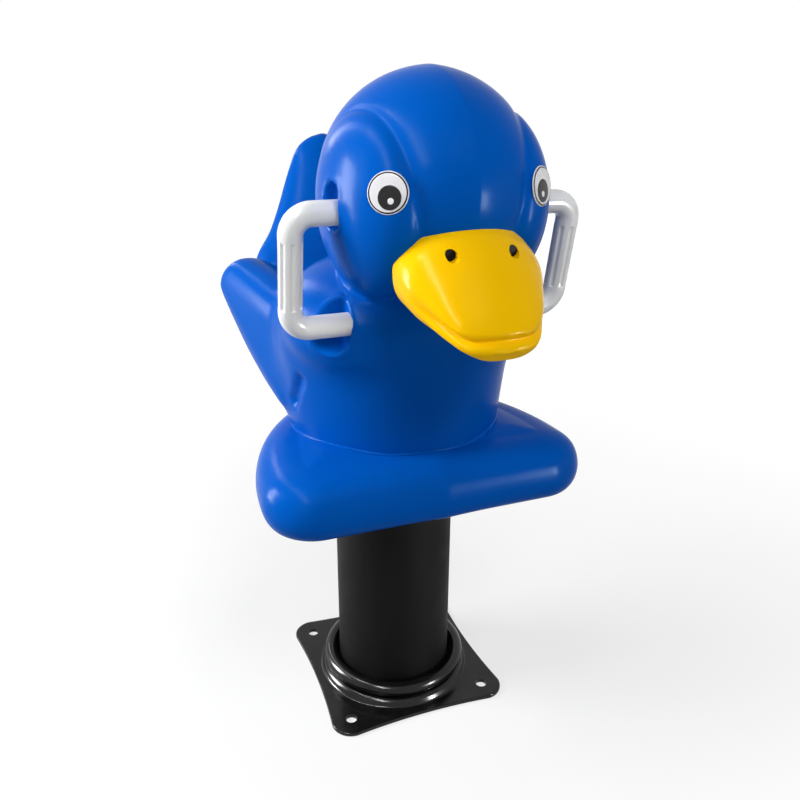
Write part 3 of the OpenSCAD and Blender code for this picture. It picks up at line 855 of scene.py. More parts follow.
@dataclass
class Column:
    """The sleeve and the coil inside it, in three lengths."""

    sleeve_r: float = 0.0735
    sleeve_wall: float = 0.004
    rim: float = 0.0012
    low_z: float = 0.0053
    high_z: float = 0.3027
    coil_r: float = 0.056
    wire_r: float = 0.008
    coil_turns: float = 6.0
    steps: int = 240
    flat: float = 250.0
    coil_low_z: float = 0.0133
    coil_high_z: float = 0.2947
    joints_z: Pair = (0.14, 0.22)
    lower_zone: Pair = (0.04, 0.14)
    upper_zone: Pair = (0.22, 0.278)

    def sleeve(self, z0: float, z1: float) -> Piece:
        """One length of the sleeve, with a rounded rim where the sleeve ends.

        Args:
            z0: Its lower end.
            z1: Its upper end.

        Returns:
            The length.
        """
        heights = np.linspace(z0, z1, 32)
        outer = []
        for z in heights:
            drawn = sum(max(0.0, 1 - far / self.rim) for far in (z - self.low_z, self.high_z - z))
            outer.append((self.sleeve_r - self.rim * drawn, z))
        inner = [(self.sleeve_r - self.sleeve_wall, z) for z in heights[::-1]]
        return spun("sleeve_length", [*outer, *inner, outer[0]], around=128)

    def wire(self) -> Piece:
        """The whole coil, with flat end turns.

        Returns:
            The coil.
        """
        whole = 360.0 * self.coil_turns
        rings = []
        for i in range(self.steps + 1):
            a = whole * i / self.steps
            share = min(1.0, max(0.0, (a - self.flat) / (whole - 2 * self.flat)))
            z = self.coil_low_z + (self.coil_high_z - self.coil_low_z) * share
            way = np.array([math.cos(math.radians(a)), math.sin(math.radians(a)), 0.0])
            middle = way * self.coil_r + np.array([0, 0, z])
            rings.append(oval(middle, way * self.wire_r, (0, 0, self.wire_r), count=20))
        return skin("coil", rings)

    def coil_length(self, z0: float | None, z1: float | None) -> Piece:
        """The part of the coil between two heights.

        Args:
            z0: Its lower end, or None for the coil's own.
            z1: Its upper end, or None for the coil's own.

        Returns:
            The length.
        """
        piece = self.wire()
        for z, lower in ((z0, True), (z1, False)):
            if z is None:
                continue
            with editing(piece):
                bpy.ops.mesh.bisect(plane_co=(0, 0, z), plane_no=(0, 0, 1), use_fill=True,
                                    clear_inner=lower, clear_outer=not lower)
        return seal(piece)

    def build(self, finishes: Finishes) -> None:
        """Build each length and dress it.

        Args:
            finishes: The rider's finishes.
        """
        a, b = self.joints_z
        spans = (
            ("lower", self.low_z, a, None, a, Body.BASE, Body.SPRING, self.lower_zone),
            ("middle", a, b, a, b, Body.SPRING, Body.SLEEVE, (a, b)),
            ("upper", b, self.high_z, b, None, Body.SLEEVE, Body.RIDER, self.upper_zone),
        )
        for name, z0, z1, coil0, coil1, first, second, zone in spans:
            sleeve = dress(self.sleeve(z0, z1), finishes.rubber, angle=40)
            coil = dress(self.coil_length(coil0, coil1), finishes.zinc, angle=50)
            for piece, label, node, slot in (
                    (sleeve, "sleeve", "spring_sleeve", "sleeve_rubber"),
                    (coil, "coil", "coil_spring", "bare_steel")):
                piece.name = piece.data.name = f"{name}_{label}"
                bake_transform(piece)
                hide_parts(node)
                LOG.info("%s: %d faces, from %s to %s", piece.name, len(piece.data.polygons),
                         first.value, second.value)


@dataclass
class Footrest:
    """The wide moulding under the body, with a shallow ridge along its middle."""

    half_w: float = 0.187
    front: float = 0.162
    back: float = 0.138
    corner_r: float = 0.057
    low_z: float = 0.303
    edge_h: float = 0.067
    top_z: float = 0.375
    recess_r: float = 0.1003
    recess_h: float = 0.0083
    foot_r: float = 0.124
    foot_bead_r: float = 0.0022
    foot_bead_lift: float = 0.0004
    ridge: float = 0.0045
    ridge_w: float = 0.06
    ridge_front: Pair = (0.06, 0.13)
    ridge_tilt: Pair = (-0.2, 0.5)
    # Height up the edge, and how far it is drawn in
    edge_shares: Table = (
        (0, 0.34), (0.04, 0.19), (0.145, 0.08), (0.29, 0.015), (0.41, 0), (0.53, 0.015),
        (0.65, 0.055), (0.765, 0.13), (0.868, 0.265), (0.945, 0.46), (0.985, 0.68), (1, 0.86))
    # Height of the crown, and size
    crown_shares: Table = ((0, 1), (0.45, 0.92), (0.8, 0.84), (1, 0.77))
    inner_shares: Triple = (0.6, 0.4, 0.2)

    def plan(self, draw: float, z: float, share: float = 1.0) -> Ring:
        """The outline drawn in all round, at one height.

        Args:
            draw: How far it is drawn in.
            z: Its height.
            share: Its size after that.

        Returns:
            The ring of points.
        """
        mid_y = self.corner_r - self.front
        corner_x, r = self.half_w - self.corner_r, self.corner_r - draw
        edge = np.linspace(0.0, corner_x, 31)[:-1]
        straight = np.column_stack([edge, np.full(len(edge), draw - self.front)])
        turn = np.radians(np.linspace(-90.0, 0.0, 33))
        corner = np.column_stack([corner_x + r * np.cos(turn), mid_y + r * np.sin(turn)])
        sweep = np.radians(np.linspace(0.0, 90.0, 61)[1:])
        side = np.column_stack([(self.half_w - draw) * np.cos(sweep),
                                mid_y + (self.back - mid_y - draw) * np.sin(sweep)])
        right = np.concatenate([straight, corner, side])
        left = right[-2:0:-1] * np.array([-1.0, 1.0])
        return level_ring(*(np.concatenate([right, left]) * share).T, z)

    def ridge_height(self, places: Array, normals: Array) -> Array:
        """Height of the ridge, over the front and the top alone.

        Args:
            places: Places of the points.
            normals: Normals of the points.

        Returns:
            One height for each point.
        """
        return (self.ridge * np.exp(-np.abs(places[:, 0]) / self.ridge_w)
                * ease(-places[:, 1], *self.ridge_front)
                * ease(normals[:, 2] - normals[:, 1], *self.ridge_tilt))

    def moulding(self) -> Piece:
        """The moulding, open below for the spring plate.

        Returns:
            The moulding.
        """
        rings = [self.plan(draw * self.corner_r, self.low_z + h * self.edge_h)
                 for h, draw in by_row(self.edge_shares, 71)]
        last = self.edge_shares[-1][1] * self.corner_r
        rise = self.top_z - self.low_z - self.edge_h
        rings += [self.plan(last, self.low_z + self.edge_h + h * rise, share)
                  for h, share in by_row(self.crown_shares, 13)[1:]]
        rings += [self.plan(last, self.top_z, share) for share in self.inner_shares]
        outer = rings[0][:, :2]
        way = outer / np.linalg.norm(outer, axis=1)[:, None] * self.recess_r
        recess = [level_ring(*way.T, z) for z in (self.low_z + self.recess_h, self.low_z)]
        return push(skin("footrest_moulding", [*recess, *rings]), self.ridge_height)

    def bead(self, rest: Piece) -> Piece:
        """The fine bead where the body stands on the moulding.

        Args:
            rest: The finished moulding.

        Returns:
            The bead.
        """
        above, down = Vector((0, 0, 0.5)), Vector((0, 0, -1))
        rings = []
        for a in np.linspace(0.0, 2.0 * math.pi, 241):
            way = np.array([math.cos(a), math.sin(a), 0.0])
            hit, place, _, _ = rest.ray_cast(Vector(way * self.foot_r) + above, down)
            z = (place.z if hit else self.top_z) + self.foot_bead_lift
            middle = way * self.foot_r + np.array([0, 0, z])
            rings.append(oval(middle, way * self.foot_bead_r, (0, 0, self.foot_bead_r), count=12))
        return skin("foot_bead", rings, closed=False)

    def build(self, finishes: Finishes) -> None:
        """Build, dress and seat the moulding and its bead.

        Args:
            finishes: The rider's finishes.
        """
        rest = dress(self.moulding(), finishes.blue, angle=50)
        stand_for(rest, Body.RIDER, "blue_plastic", "footrest")
        stand_for(dress(self.bead(rest), finishes.blue), Body.RIDER, "blue_plastic")


@dataclass(frozen=True)
class Pocket:
    """One pair of handle pockets: upright ovals in the sides of the duck, with a soft rim."""

    y: float
    z: float
    drop: float
    bottom: float
    rise: float = 0.014
    half_w: float = 0.014
    out: float = 0.17
    rim: float = 0.0012
    rim_off: float = 0.0035
    rim_w: float = 0.0028
    rim_fade: float = 0.004

    def cutter(self, side: Side) -> Piece:
        """The cutter of the pocket on one side.

        Args:
            side: The side of the duck.

        Returns:
            The cutter.
        """
        turn = turns(64)
        y = self.y + self.half_w * np.cos(turn)
        z = self.z + self.half_w * np.sin(turn)
        z += np.where(np.sin(turn) >= 0, self.rise, -self.drop)
        return skin("cutter", [np.column_stack([np.full(len(turn), x * side.value), y, z])
                               for x in (self.bottom, self.out)])

    def rim_height(self, places: Array) -> Array:
        """Height of the rim at each place.

        Args:
            places: Places of the points.

        Returns:
            One height for each point.
        """
        up = places[:, 2] - self.z
        beyond = up - np.clip(up, -self.drop, self.rise)
        off = np.hypot(places[:, 1] - self.y, beyond) - self.half_w
        outer = ease(np.abs(places[:, 0]), self.bottom, self.bottom + self.rim_fade)
        return self.rim * outer * hump(off - self.rim_off, self.rim_w)


@dataclass
class DuckBody:
    """The blue moulding: trunk, chest, tail and wings fused softly, then head and cheeks."""

    foot_r: float = 0.124
    trunk_r: float = 0.142
    trunk_back: float = 0.205
    sunk_z: Pair = (0.338, 0.355)
    floor_z: float = 0.375
    seat_h: float = 0.137
    chest: Triple = (0.0, -0.025, 0.5)
    chest_half: Triple = (0.138, 0.113, 0.082)
    chest_full: float = 2.4
    chest_pole: float = 88.0
    tail_root: float = 1.1
    tail_h: float = 0.17
    tail_tip_y: float = 0.282
    tail_half_w: float = 0.118
    tail_half_t: float = 0.05
    wing_tip: Triple = (0.145, 0.194, 0.52)
    wing_root: Triple = (0.0992, 0.0, 0.386)
    wing_half_h: float = 0.058
    wing_half_t: float = 0.042
    wing_low: float = 0.8
    wing_out: float = 0.76
    flank: float = 0.4
    notch: float = 0.8
    notch_x: Pair = (0.085, 0.11)
    notch_y: Pair = (0.14, 0.18)
    head: Triple = (0.0, -0.09, 0.65)
    head_half: Triple = (0.106, 0.12, 0.11)
    cheek: Triple = (0.058, -0.102, 0.637)
    cheek_half: Triple = (0.053, 0.094, 0.092)
    pockets: tuple[Pocket, ...] = (
        Pocket(y=-0.125, z=0.633, drop=0.002, bottom=0.098),
        Pocket(y=-0.103, z=0.519, drop=0.014, bottom=0.087))
    eye_seat_r: float = 0.0191
    eye_seat_out: float = 0.03
    dimple_ends: tuple[Triple, Triple] = ((0.125, -0.043, 0.443), (0.127, -0.017, 0.409))
    dimple: float = 0.0055
    dimple_w: float = 0.0075
    keel: float = 0.0024
    keel_w: float = 0.03
    keel_z: Pair = (0.6, 0.66)
    valley: float = 0.0012
    valley_w: float = 0.005
    valley_angle: Pair = (0.08, 0.3)
    valley_z: Pair = (0.59, 0.63)
    voxel: float = 0.0026
    fillet_voxel: float = 0.006
    fillet_fills: int = 150
    fillet_sink: float = 0.0006
    low_fills: int = 60
    neck_fills: int = 3
    # Height, then growth at the sides, in front and behind
    trunk_shares: Table = (
        (0, 0, 0, 0), (0.02, 0.06, 0.06, 0.03), (0.25, 0.26, 0.2, 0.34), (0.5, 0.5, 0.42, 0.68),
        (0.72, 0.74, 0.66, 0.92), (0.86, 0.74, 0.66, 1), (0.95, 0.3, 0.2, 0.9),
        (1, -1.6, -1.6, 0.35))
    # Height, width, thickness and lean
    tail_shares: Table = (
        (-0.745, 0.7, 0.7, -1.6), (-0.372, 0.95, 0.95, -0.6), (0, 0.98, 1, 0),
        (0.286, 0.75, 0.8, 0.28), (0.475, 0.62, 0.66, 0.46), (0.64, 0.52, 0.56, 0.62),
        (0.785, 0.42, 0.46, 0.77), (0.88, 0.345, 0.36, 0.87), (0.945, 0.25, 0.26, 0.94),
        (0.985, 0.13, 0.14, 0.98), (1, 0.03, 0.04, 1))
    # Place along the wing, height and thickness
    wing_shares: Table = (
        (0, 0.12, 0.3), (0.05, 0.4, 0.8), (0.15, 0.62, 1), (0.35, 0.92, 1), (0.55, 1, 1),
        (0.75, 0.88, 1), (0.9, 0.68, 1), (0.97, 0.46, 0.74), (1, 0.06, 0.1))

    def trunk(self) -> Piece:
        """The round trunk, which runs on down inside the footrest.

        Returns:
            The closed form.
        """
        count = 120
        side, ahead = np.cos(turns(count)), np.sin(turns(count))
        grow, reach = self.trunk_r - self.foot_r, self.trunk_back - self.foot_r
        rings = [round_ring(self.foot_r, z, count) for z in self.sunk_z]
        for h, w, front, back in by_row(self.trunk_shares, 50):
            depth = self.foot_r + np.where(ahead < 0, front * grow, back * reach)
            z = self.floor_z + h * self.seat_h
            rings.append(level_ring((self.foot_r + w * grow) * side, depth * ahead, z))
        return skin("trunk", rings)

    def tail(self) -> Piece:
        """The tail, which leans back to a rounded tip.

        Returns:
            The closed form.
        """
        root_y, seat_z = self.trunk_back * self.tail_root, self.floor_z + self.seat_h
        rings = []
        for h, w, t, back in by_row(self.tail_shares, 60):
            y = root_y + (self.tail_tip_y - root_y) * back
            z = seat_z + h * (self.seat_h if h < 0 else self.tail_h)
            across, deep = (self.tail_half_w * w, 0, 0), (0, self.tail_half_t * t, 0)
            rings.append(oval((0, y, z), across, deep, count=96))
        return skin("tail", rings)

    def chest_form(self) -> Piece:
        """The chest, fuller at its corners than an ellipsoid.

        Returns:
            The closed form.
        """
        turn = turns(120)
        x, y = full(np.cos(turn), self.chest_full), full(np.sin(turn), self.chest_full)
        rings = []
        for b in np.radians(np.linspace(-self.chest_pole, self.chest_pole, 60)):
            w, d, h = np.asarray(self.chest_half) * (math.cos(b), math.cos(b), math.sin(b))
            rings.append(level_ring(x * w, y * d, h) + np.asarray(self.chest))
        return skin("chest", rings)

    def wing(self, side: Side) -> Piece:
        """One wing, which sweeps up and back along the trunk, fuller above and inward.

        Args:
            side: The side of the duck.

        Returns:
            The closed form.
        """
        turn = turns(72)
        start = np.asarray(self.wing_root)
        way = np.asarray(self.wing_tip) - start
        inward = np.array([-way[1], way[0], 0.0]) / math.hypot(way[0], way[1])
        rise = np.cross(way, inward) / np.linalg.norm(np.cross(way, inward))
        across = np.cos(turn) * np.where(np.cos(turn) < 0, self.wing_out, 1.0) * self.wing_half_t
        up = np.sin(turn) * np.where(np.sin(turn) < 0, self.wing_low, 1.0) * self.wing_half_h
        rings = [
            (start + way * s + np.outer(across * t, inward) + np.outer(up * h, rise))
            * (side.value, 1.0, 1.0)
            for s, h, t in by_row(self.wing_shares, 60)
        ]
        return skin("wing", rings)

    def flared_wing(self, side: Side) -> Piece:
        """One wing, drawn tight to the side of the chest so that it flares from the body.

        Args:
            side: The side of the duck.

        Returns:
            The closed form.
        """
        w, _, h = self.chest_half
        middle = (w / 2 * side.value, 0.0, self.chest[2] - h / 4)
        inner = ball("inner", middle, tuple(half * self.flank for half in self.chest_half))
        drawn = join("flared_wing", [self.wing(side), inner])
        with editing(drawn):
            bpy.ops.mesh.convex_hull()
        return drawn

    def low_forms(self) -> list[Piece]:
        """Everything below the head, as separate forms."""
        wings = (self.flared_wing(side) for side in Side)
        return [self.trunk(), self.chest_form(), self.tail(), *wings]

    def fillet_share(self, places: Array) -> Array:
        """How much of the wide fillets each place takes: little round the notch by the tail."""
        beside = ease(np.abs(places[:, 0]), *self.notch_x)
        return 1.0 - self.notch * beside * ease(places[:, 1], *self.notch_y)

    def rims(self, places: Array, normals: Array) -> Array:
        """Height of the soft rim round each handle pocket."""
        return sum(pocket.rim_height(places) for pocket in self.pockets)

    def dimples(self, places: Array, normals: Array) -> Array:
        """Depth of the short hollow in front of each wing's root.

        Args:
            places: Places of the points.
            normals: Normals of the points.

        Returns:
            One height for each point, none above 0.
        """
        depth = np.zeros(len(places))
        for side in Side:
            start, end = (np.array(mirrored(place, side)) for place in self.dimple_ends)
            way = end - start
            share = np.clip((places - start) @ way / (way @ way), 0.0, 1.0)
            off = np.linalg.norm(places - start - share[:, None] * way, axis=1)
            depth -= self.dimple * hump(off, self.dimple_w)
        return depth

    def valleys(self, places: Array, normals: Array) -> Array:
        """Depth of the soft valley where each cheek meets the head.

        Args:
            places: Places of the points.
            normals: Normals of the points.

        Returns:
            One height for each point, none above 0.
        """
        def outside(centre: Triple, half: Triple) -> tuple[Array, Array]:
            """Distance outside an ellipsoid, and the way straight out of it.

            Args:
                centre: The ellipsoid's middle.
                half: Its half sizes.

            Returns:
                A distance and a way for each point.
            """
            share = (places - np.asarray(centre)) / np.asarray(half)
            way = share / np.asarray(half)
            steep = np.linalg.norm(way, axis=1)
            size = np.linalg.norm(share, axis=1)
            return (size - 1.0) * size / steep, way / steep[:, None]

        depth = np.zeros(len(places))
        head, head_way = outside(self.head, self.head_half)
        for side in Side:
            cheek, cheek_way = outside(mirrored(self.cheek, side), self.cheek_half)
            angle = np.sqrt(np.maximum(1e-4, 1.0 - (head_way * cheek_way).sum(axis=1) ** 2))
            fade = ease(angle, *self.valley_angle)
            depth -= self.valley * hump((head - cheek) / angle, self.valley_w) * fade
        return depth * ease(places[:, 2], *self.valley_z)

    def keel_height(self, places: Array, normals: Array) -> Array:
        """Height of the faint keel along the top and front of the head."""
        ridge = np.exp(-np.abs(places[:, 0]) / self.keel_w)
        return self.keel * ridge * ease(places[:, 2], *self.keel_z)

    def moulding(self) -> Piece:
        """The fused forms below the head, then head and cheeks, with the pockets cut in.

        Returns:
            The moulding.
        """
        fillets = soften(fuse("fillets", self.low_forms(), self.fillet_voxel), times=2)
        fill_creases(fillets, self.fillet_fills, self.fillet_share)
        push(fillets, lambda places, normals: np.full(len(places), -self.fillet_sink))
        low = soften(fuse("duck_low", [*self.low_forms(), fillets], self.voxel), times=4)
        fill_creases(low, self.low_fills)
        forms = [low, ball("head", self.head, self.head_half)]
        forms += [ball("cheek", mirrored(self.cheek, side), self.cheek_half) for side in Side]
        duck = soften(fuse("duck_moulding", forms, self.voxel), times=2)
        fill_creases(duck, self.neck_fills)
        for side in Side:
            for pocket in self.pockets:
                cut(duck, pocket.cutter(side))
        return soften(fuse("duck_moulding", [duck], self.voxel), times=4)

    def build(self, finishes: Finishes) -> None:
        """Build the moulding, shape its skin, cut the eye seats and dress it.

        Args:
            finishes: The rider's finishes.
        """
        duck = self.moulding()
        for shape in (self.dimples, self.valleys, self.rims):
            push(duck, shape)
        with editing(duck):
            bpy.ops.mesh.bisect(plane_co=(0, 0, 0), plane_no=(1, 0, 0))
        push(duck, self.keel_height)
        for side in Side:
            way = Vector(mirrored(heading(*EYE_HEADING), side))
            seat = Vector(mirrored(EYE_SEAT, side))
            cut(duck, rod(self.eye_seat_r, seat, seat + way * self.eye_seat_out, sides=96))
        stand_for(dress(duck, finishes.blue, angle=40), Body.RIDER, "blue_plastic", "rider_body")


@dataclass
class Bill:
    """The yellow bill with its mouth line and lip, and two nostrils that hold its screws."""

    half_w: float = 0.07
    root: Pair = (-0.18, 0.588)
    length: float = 0.092
    tip_drop: float = 0.052
    rise: float = 0.048
    drop: float = 0.044
    full_above: float = 1.8
    full_below: float = 2.8
    nostril: Triple = (0.03, -0.222, 0.605)
    nostril_r: float = 0.0055
    nostril_deep: float = 0.009
    nostril_out: float = 0.04
    mouth_y: float = -0.272
    mouth_z: float = 0.54
    mouth_slope: float = 0.56
    mouth_round: float = 0.008
    mouth_end: Pair = (-0.238, -0.212)
    groove: float = 0.0042
    groove_w: float = 0.0032
    lip: float = 0.0016
    lip_below: float = 0.0085
    lip_w: float = 0.0045
    # Place along the bill, width, rise, drop, and fall of the middle
    shares: Table = (
        (0, 1, 1, 1, 0), (0.3, 0.96, 0.92, 0.95, 0.16), (0.55, 0.82, 0.74, 0.8, 0.4),
        (0.75, 0.68, 0.52, 0.62, 0.64), (0.89, 0.54, 0.36, 0.48, 0.84),
        (0.97, 0.38, 0.22, 0.34, 0.97), (1, 0.16, 0.08, 0.12, 1))

    def mouth(self, places: Array, normals: Array) -> Array:
        """Depth of the mouth line and height of the lip below it.

        Args:
            places: Places of the points.
            normals: Normals of the points.

        Returns:
            One height for each point.
        """
        away = np.sqrt((places[:, 1] - self.mouth_y) ** 2 + self.mouth_round ** 2)
        off = places[:, 2] - (self.mouth_z + self.mouth_slope * (away - self.mouth_round))
        groove = -self.groove * hump(off, self.groove_w)
        lip = self.lip * hump(off + self.lip_below, self.lip_w)
        return (groove + lip) * (1.0 - ease(places[:, 1], *self.mouth_end))

    def build(self, finishes: Finishes) -> None:
        """Build, cut and dress the bill.

        Args:
            finishes: The rider's finishes.
        """
        turn = turns(200)
        above = np.sin(turn) > 0
        power = np.where(above, self.full_above, self.full_below)
        x, z = full(np.cos(turn), power), full(np.sin(turn), power)
        rings = []
        for s, w, up, down, fall in by_row(self.shares, 100):
            height = np.where(above, self.rise * up, self.drop * down)
            y = np.full(len(turn), self.root[0] - self.length * s)
            middle_z = self.root[1] - self.tip_drop * fall
            rings.append(np.column_stack([self.half_w * w * x, y, middle_z + height * z]))
        bill = soften(push(skin("bill_moulding", rings), self.mouth), times=2)
        inward, outward = Vector((0, self.nostril_deep, 0)), Vector((0, -self.nostril_out, 0))
        for side in Side:
            rim = Vector(mirrored(self.nostril, side))
            cut(bill, rod(self.nostril_r, rim + inward, rim + outward, sides=48))
        stand_for(dress(bill, finishes.yellow, angle=55), Body.RIDER, "yellow_plastic", "bill")


@dataclass
class Handle:
    """One white D-shaped handle with a fluted grip."""

    side: Side
    tube_r: float = 0.012
    grip_x: float = 0.147
    upper: Triple = (0.0823, -0.125, 0.633)
    lower: Triple = (0.0723, -0.103, 0.519)
    elbow_r: float = 0.02
    bore_r: float = 0.00625
    bore: Pair = (-0.001, 0.022)
    flutes: int = 7
    flute_deep: float = 0.0016
    flute_span: Pair = (0.0, 0.85)
    flute_ends: Table = ((0.0, 0.0), (0.00048, 0.75), (0.0012, 1.0))
    shoulder: float = 0.004

    def stations(self) -> list[tuple[float, float, float, float]]:
        """The way along the handle's plane.

        Returns:
            For each ring: reach outward, height along the grip, turn of the way in degrees, and
            share of the flutes' depth.
        """
        span, r = math.dist(self.upper[1:], self.lower[1:]), self.elbow_r
        arm = self.grip_x - r
        bend = np.radians(np.linspace(0, 90, 19))
        start, end = r + self.shoulder, span - r - self.shoulder
        grip = [(start + off, deep) for off, deep in self.flute_ends]
        grip += [(h, 1.0) for h in np.linspace(start, end, 12)[1:-1]]
        grip += [(end - off, deep) for off, deep in self.flute_ends[::-1]]
        way = [(x, 0.0, 0.0, 0.0) for x in np.linspace(self.lower[0], arm, 14)[:-1]]
        way += [(arm + r * math.sin(a), r * (1 - math.cos(a)), math.degrees(a), 0.0) for a in bend]
        way += [(self.grip_x, h, 90.0, deep) for h, deep in grip]
        way += [(arm + r * math.cos(a), span - r + r * math.sin(a), 90 + math.degrees(a), 0.0)
                for a in bend]
        way += [(x, span, 180.0, 0.0) for x in np.linspace(arm, self.upper[0], 14)[1:]]
        return way

    def build(self, finishes: Finishes) -> None:
        """Build, dress and seat the handle.

        Args:
            finishes: The rider's finishes.
        """
        turn = turns(144)
        hollow = ease(np.cos((turn - math.pi / 2) * self.flutes), *self.flute_span)
        low = np.asarray(self.lower)
        rise = np.array([0.0, self.upper[1] - low[1], self.upper[2] - low[2]])
        rise /= np.linalg.norm(rise)
        across = np.cross((1.0, 0.0, 0.0), rise)
        rings = []
        for x, h, angle, flute in self.stations():
            a = math.radians(angle)
            inward = np.array([math.sin(a), 0, 0]) - rise * math.cos(a)
            r = self.tube_r - self.flute_deep * flute * hollow
            middle = np.array([x, low[1], low[2]]) + rise * h
            ring = middle + np.outer(r * np.cos(turn), inward) + np.outer(r * np.sin(turn), across)
            rings.append(ring * np.array([self.side.value, 1.0, 1.0]))
        name = f"{self.side.name.lower()}_handle"
        handle = skin(f"{name}_tube", rings)
        for x, y, z in (self.upper, self.lower):
            start, end = (mirrored((x + off, y, z), self.side) for off in self.bore)
            cut(handle, rod(self.bore_r, start, end, sides=48))
        stand_for(dress(handle, finishes.white, angle=50), Body.RIDER, "white_plastic", name)


@dataclass(frozen=True)
class EyeLayer:
    """One layer of an eye: its share of the width, and heights above the seat.

    The dome is how much its middle stands above its edge, and shifts is how often it is shifted
    forward and down.
    """

    name: str
    node: str
    slot: str
    share: float
    base: float
    top: float
    dome: float = 0.0
    shifts: float = 0.0


@dataclass
class Eyes:
    """Both eyes: a pale rim, a dark ring, a domed white, a pupil and a glint, one on the other."""

    width: float = 0.037
    shift: Pair = (-0.0017, -0.0039)
    edge: float = 0.0004
    edge_share: float = 0.6
    layers: tuple[EyeLayer, ...] = (
        EyeLayer("eye_rim", "eye_rims", "eye_white", 1.0, 0.0, 0.001),
        EyeLayer("eye_ring", "eye_rings", "eye_black", 0.955, 0.001, 0.0014),
        EyeLayer("eye_ball", "eye_whites", "eye_white", 0.885, 0.0014, 0.0018, 0.0008),
        EyeLayer("eye_pupil", "eye_pupils", "eye_black", 0.57, 0.0018, 0.0026, 0.0003, 1.0),
        EyeLayer("eye_glint", "eye_glints", "eye_white", 0.15, 0.0026, 0.003, 0.0001, 1.75))

    def discs(self, layer: EyeLayer) -> Piece:
        """One layer of both eyes, as one piece.

        Args:
            layer: The layer.

        Returns:
            The piece.
        """
        radius, base, top = self.width / 2 * layer.share, layer.base, layer.top
        edge = min(self.edge, (top - base) * self.edge_share)
        profile = [(0.0, base), (radius * 0.5, base), (radius, base), (radius, top - edge)]
        profile += [(radius - edge * (1 - math.cos(a)), top - edge * (1 - math.sin(a)))
                    for a in np.radians((30, 60, 90))]
        profile += [(r, top + layer.dome * (1 - (r / radius) ** 2))
                    for r in np.linspace(radius - edge, 0, 12)[1:]]
        turn, out = math.radians(EYE_HEADING[0]), heading(*EYE_HEADING)
        right = np.array([math.cos(turn), math.sin(turn), 0.0])
        axes = np.stack([right, np.cross(out, right), out])
        sides = []
        for side in Side:
            disc = spun(layer.name, profile, around=96)
            places = points_of(disc)[0] + np.array([*self.shift, 0.0]) * layer.shifts
            world = (places @ axes + np.asarray(EYE_SEAT)) * np.array([side.value, 1.0, 1.0])
            sides.append(seal(move_points(disc, world)))
        return join(layer.name, sides)

    def build(self, finishes: Finishes) -> None:
        """Build and dress every layer.

        Args:
            finishes: The rider's finishes.
        """
        materials = {"eye_white": finishes.eye_white, "eye_black": finishes.eye_black}
        for layer in self.layers:
            piece = dress(self.discs(layer), materials[layer.slot], angle=60)
            stand_for(piece, Body.RIDER, layer.slot, layer.node)


@dataclass
class Fixings:
    """The CAD fasteners and plates that stay as they are, with finer finishes."""

    zinc: tuple[str, ...] = (
        "lower_clamps", "lower_clamp_studs", "lower_clamp_nuts", "upper_clamps",
        "upper_clamp_bolts", "rider_bolts", "rider_washers", "rider_nuts", "backing_plate",
        "bill_washers", "bill_nuts", "handle_inserts", "handle_bolts", "handle_washers")
    dark: tuple[str, ...] = ("bill_screws",)
    painted: tuple[str, ...] = ("upper_spring_plate",)

    def build(self, finishes: Finishes) -> None:
        """Give each node its finish.

        Args:
            finishes: The rider's finishes.
        """
        for nodes, material in ((self.zinc, finishes.zinc), (self.dark, finishes.dark_steel),
                                (self.painted, finishes.paint)):
            for node in nodes:
                piece = bpy.data.objects[node]
                if not piece.material_slots:
                    piece.data.materials.append(material)
                for slot in piece.material_slots:
                    slot.material = material
                LOG.info("%s: CAD node with the finish %s", node, material.name)


@dataclass(frozen=True)
class Lamp:
    """A lamp that faces the duck, as long as the way between two headings.

    Each end is an azimuth and elevation in degrees, the width is in metres and the power in watts.
    """

    name: str
    start: Pair
    end: Pair
    width: float
    power: float
    use: LampUse


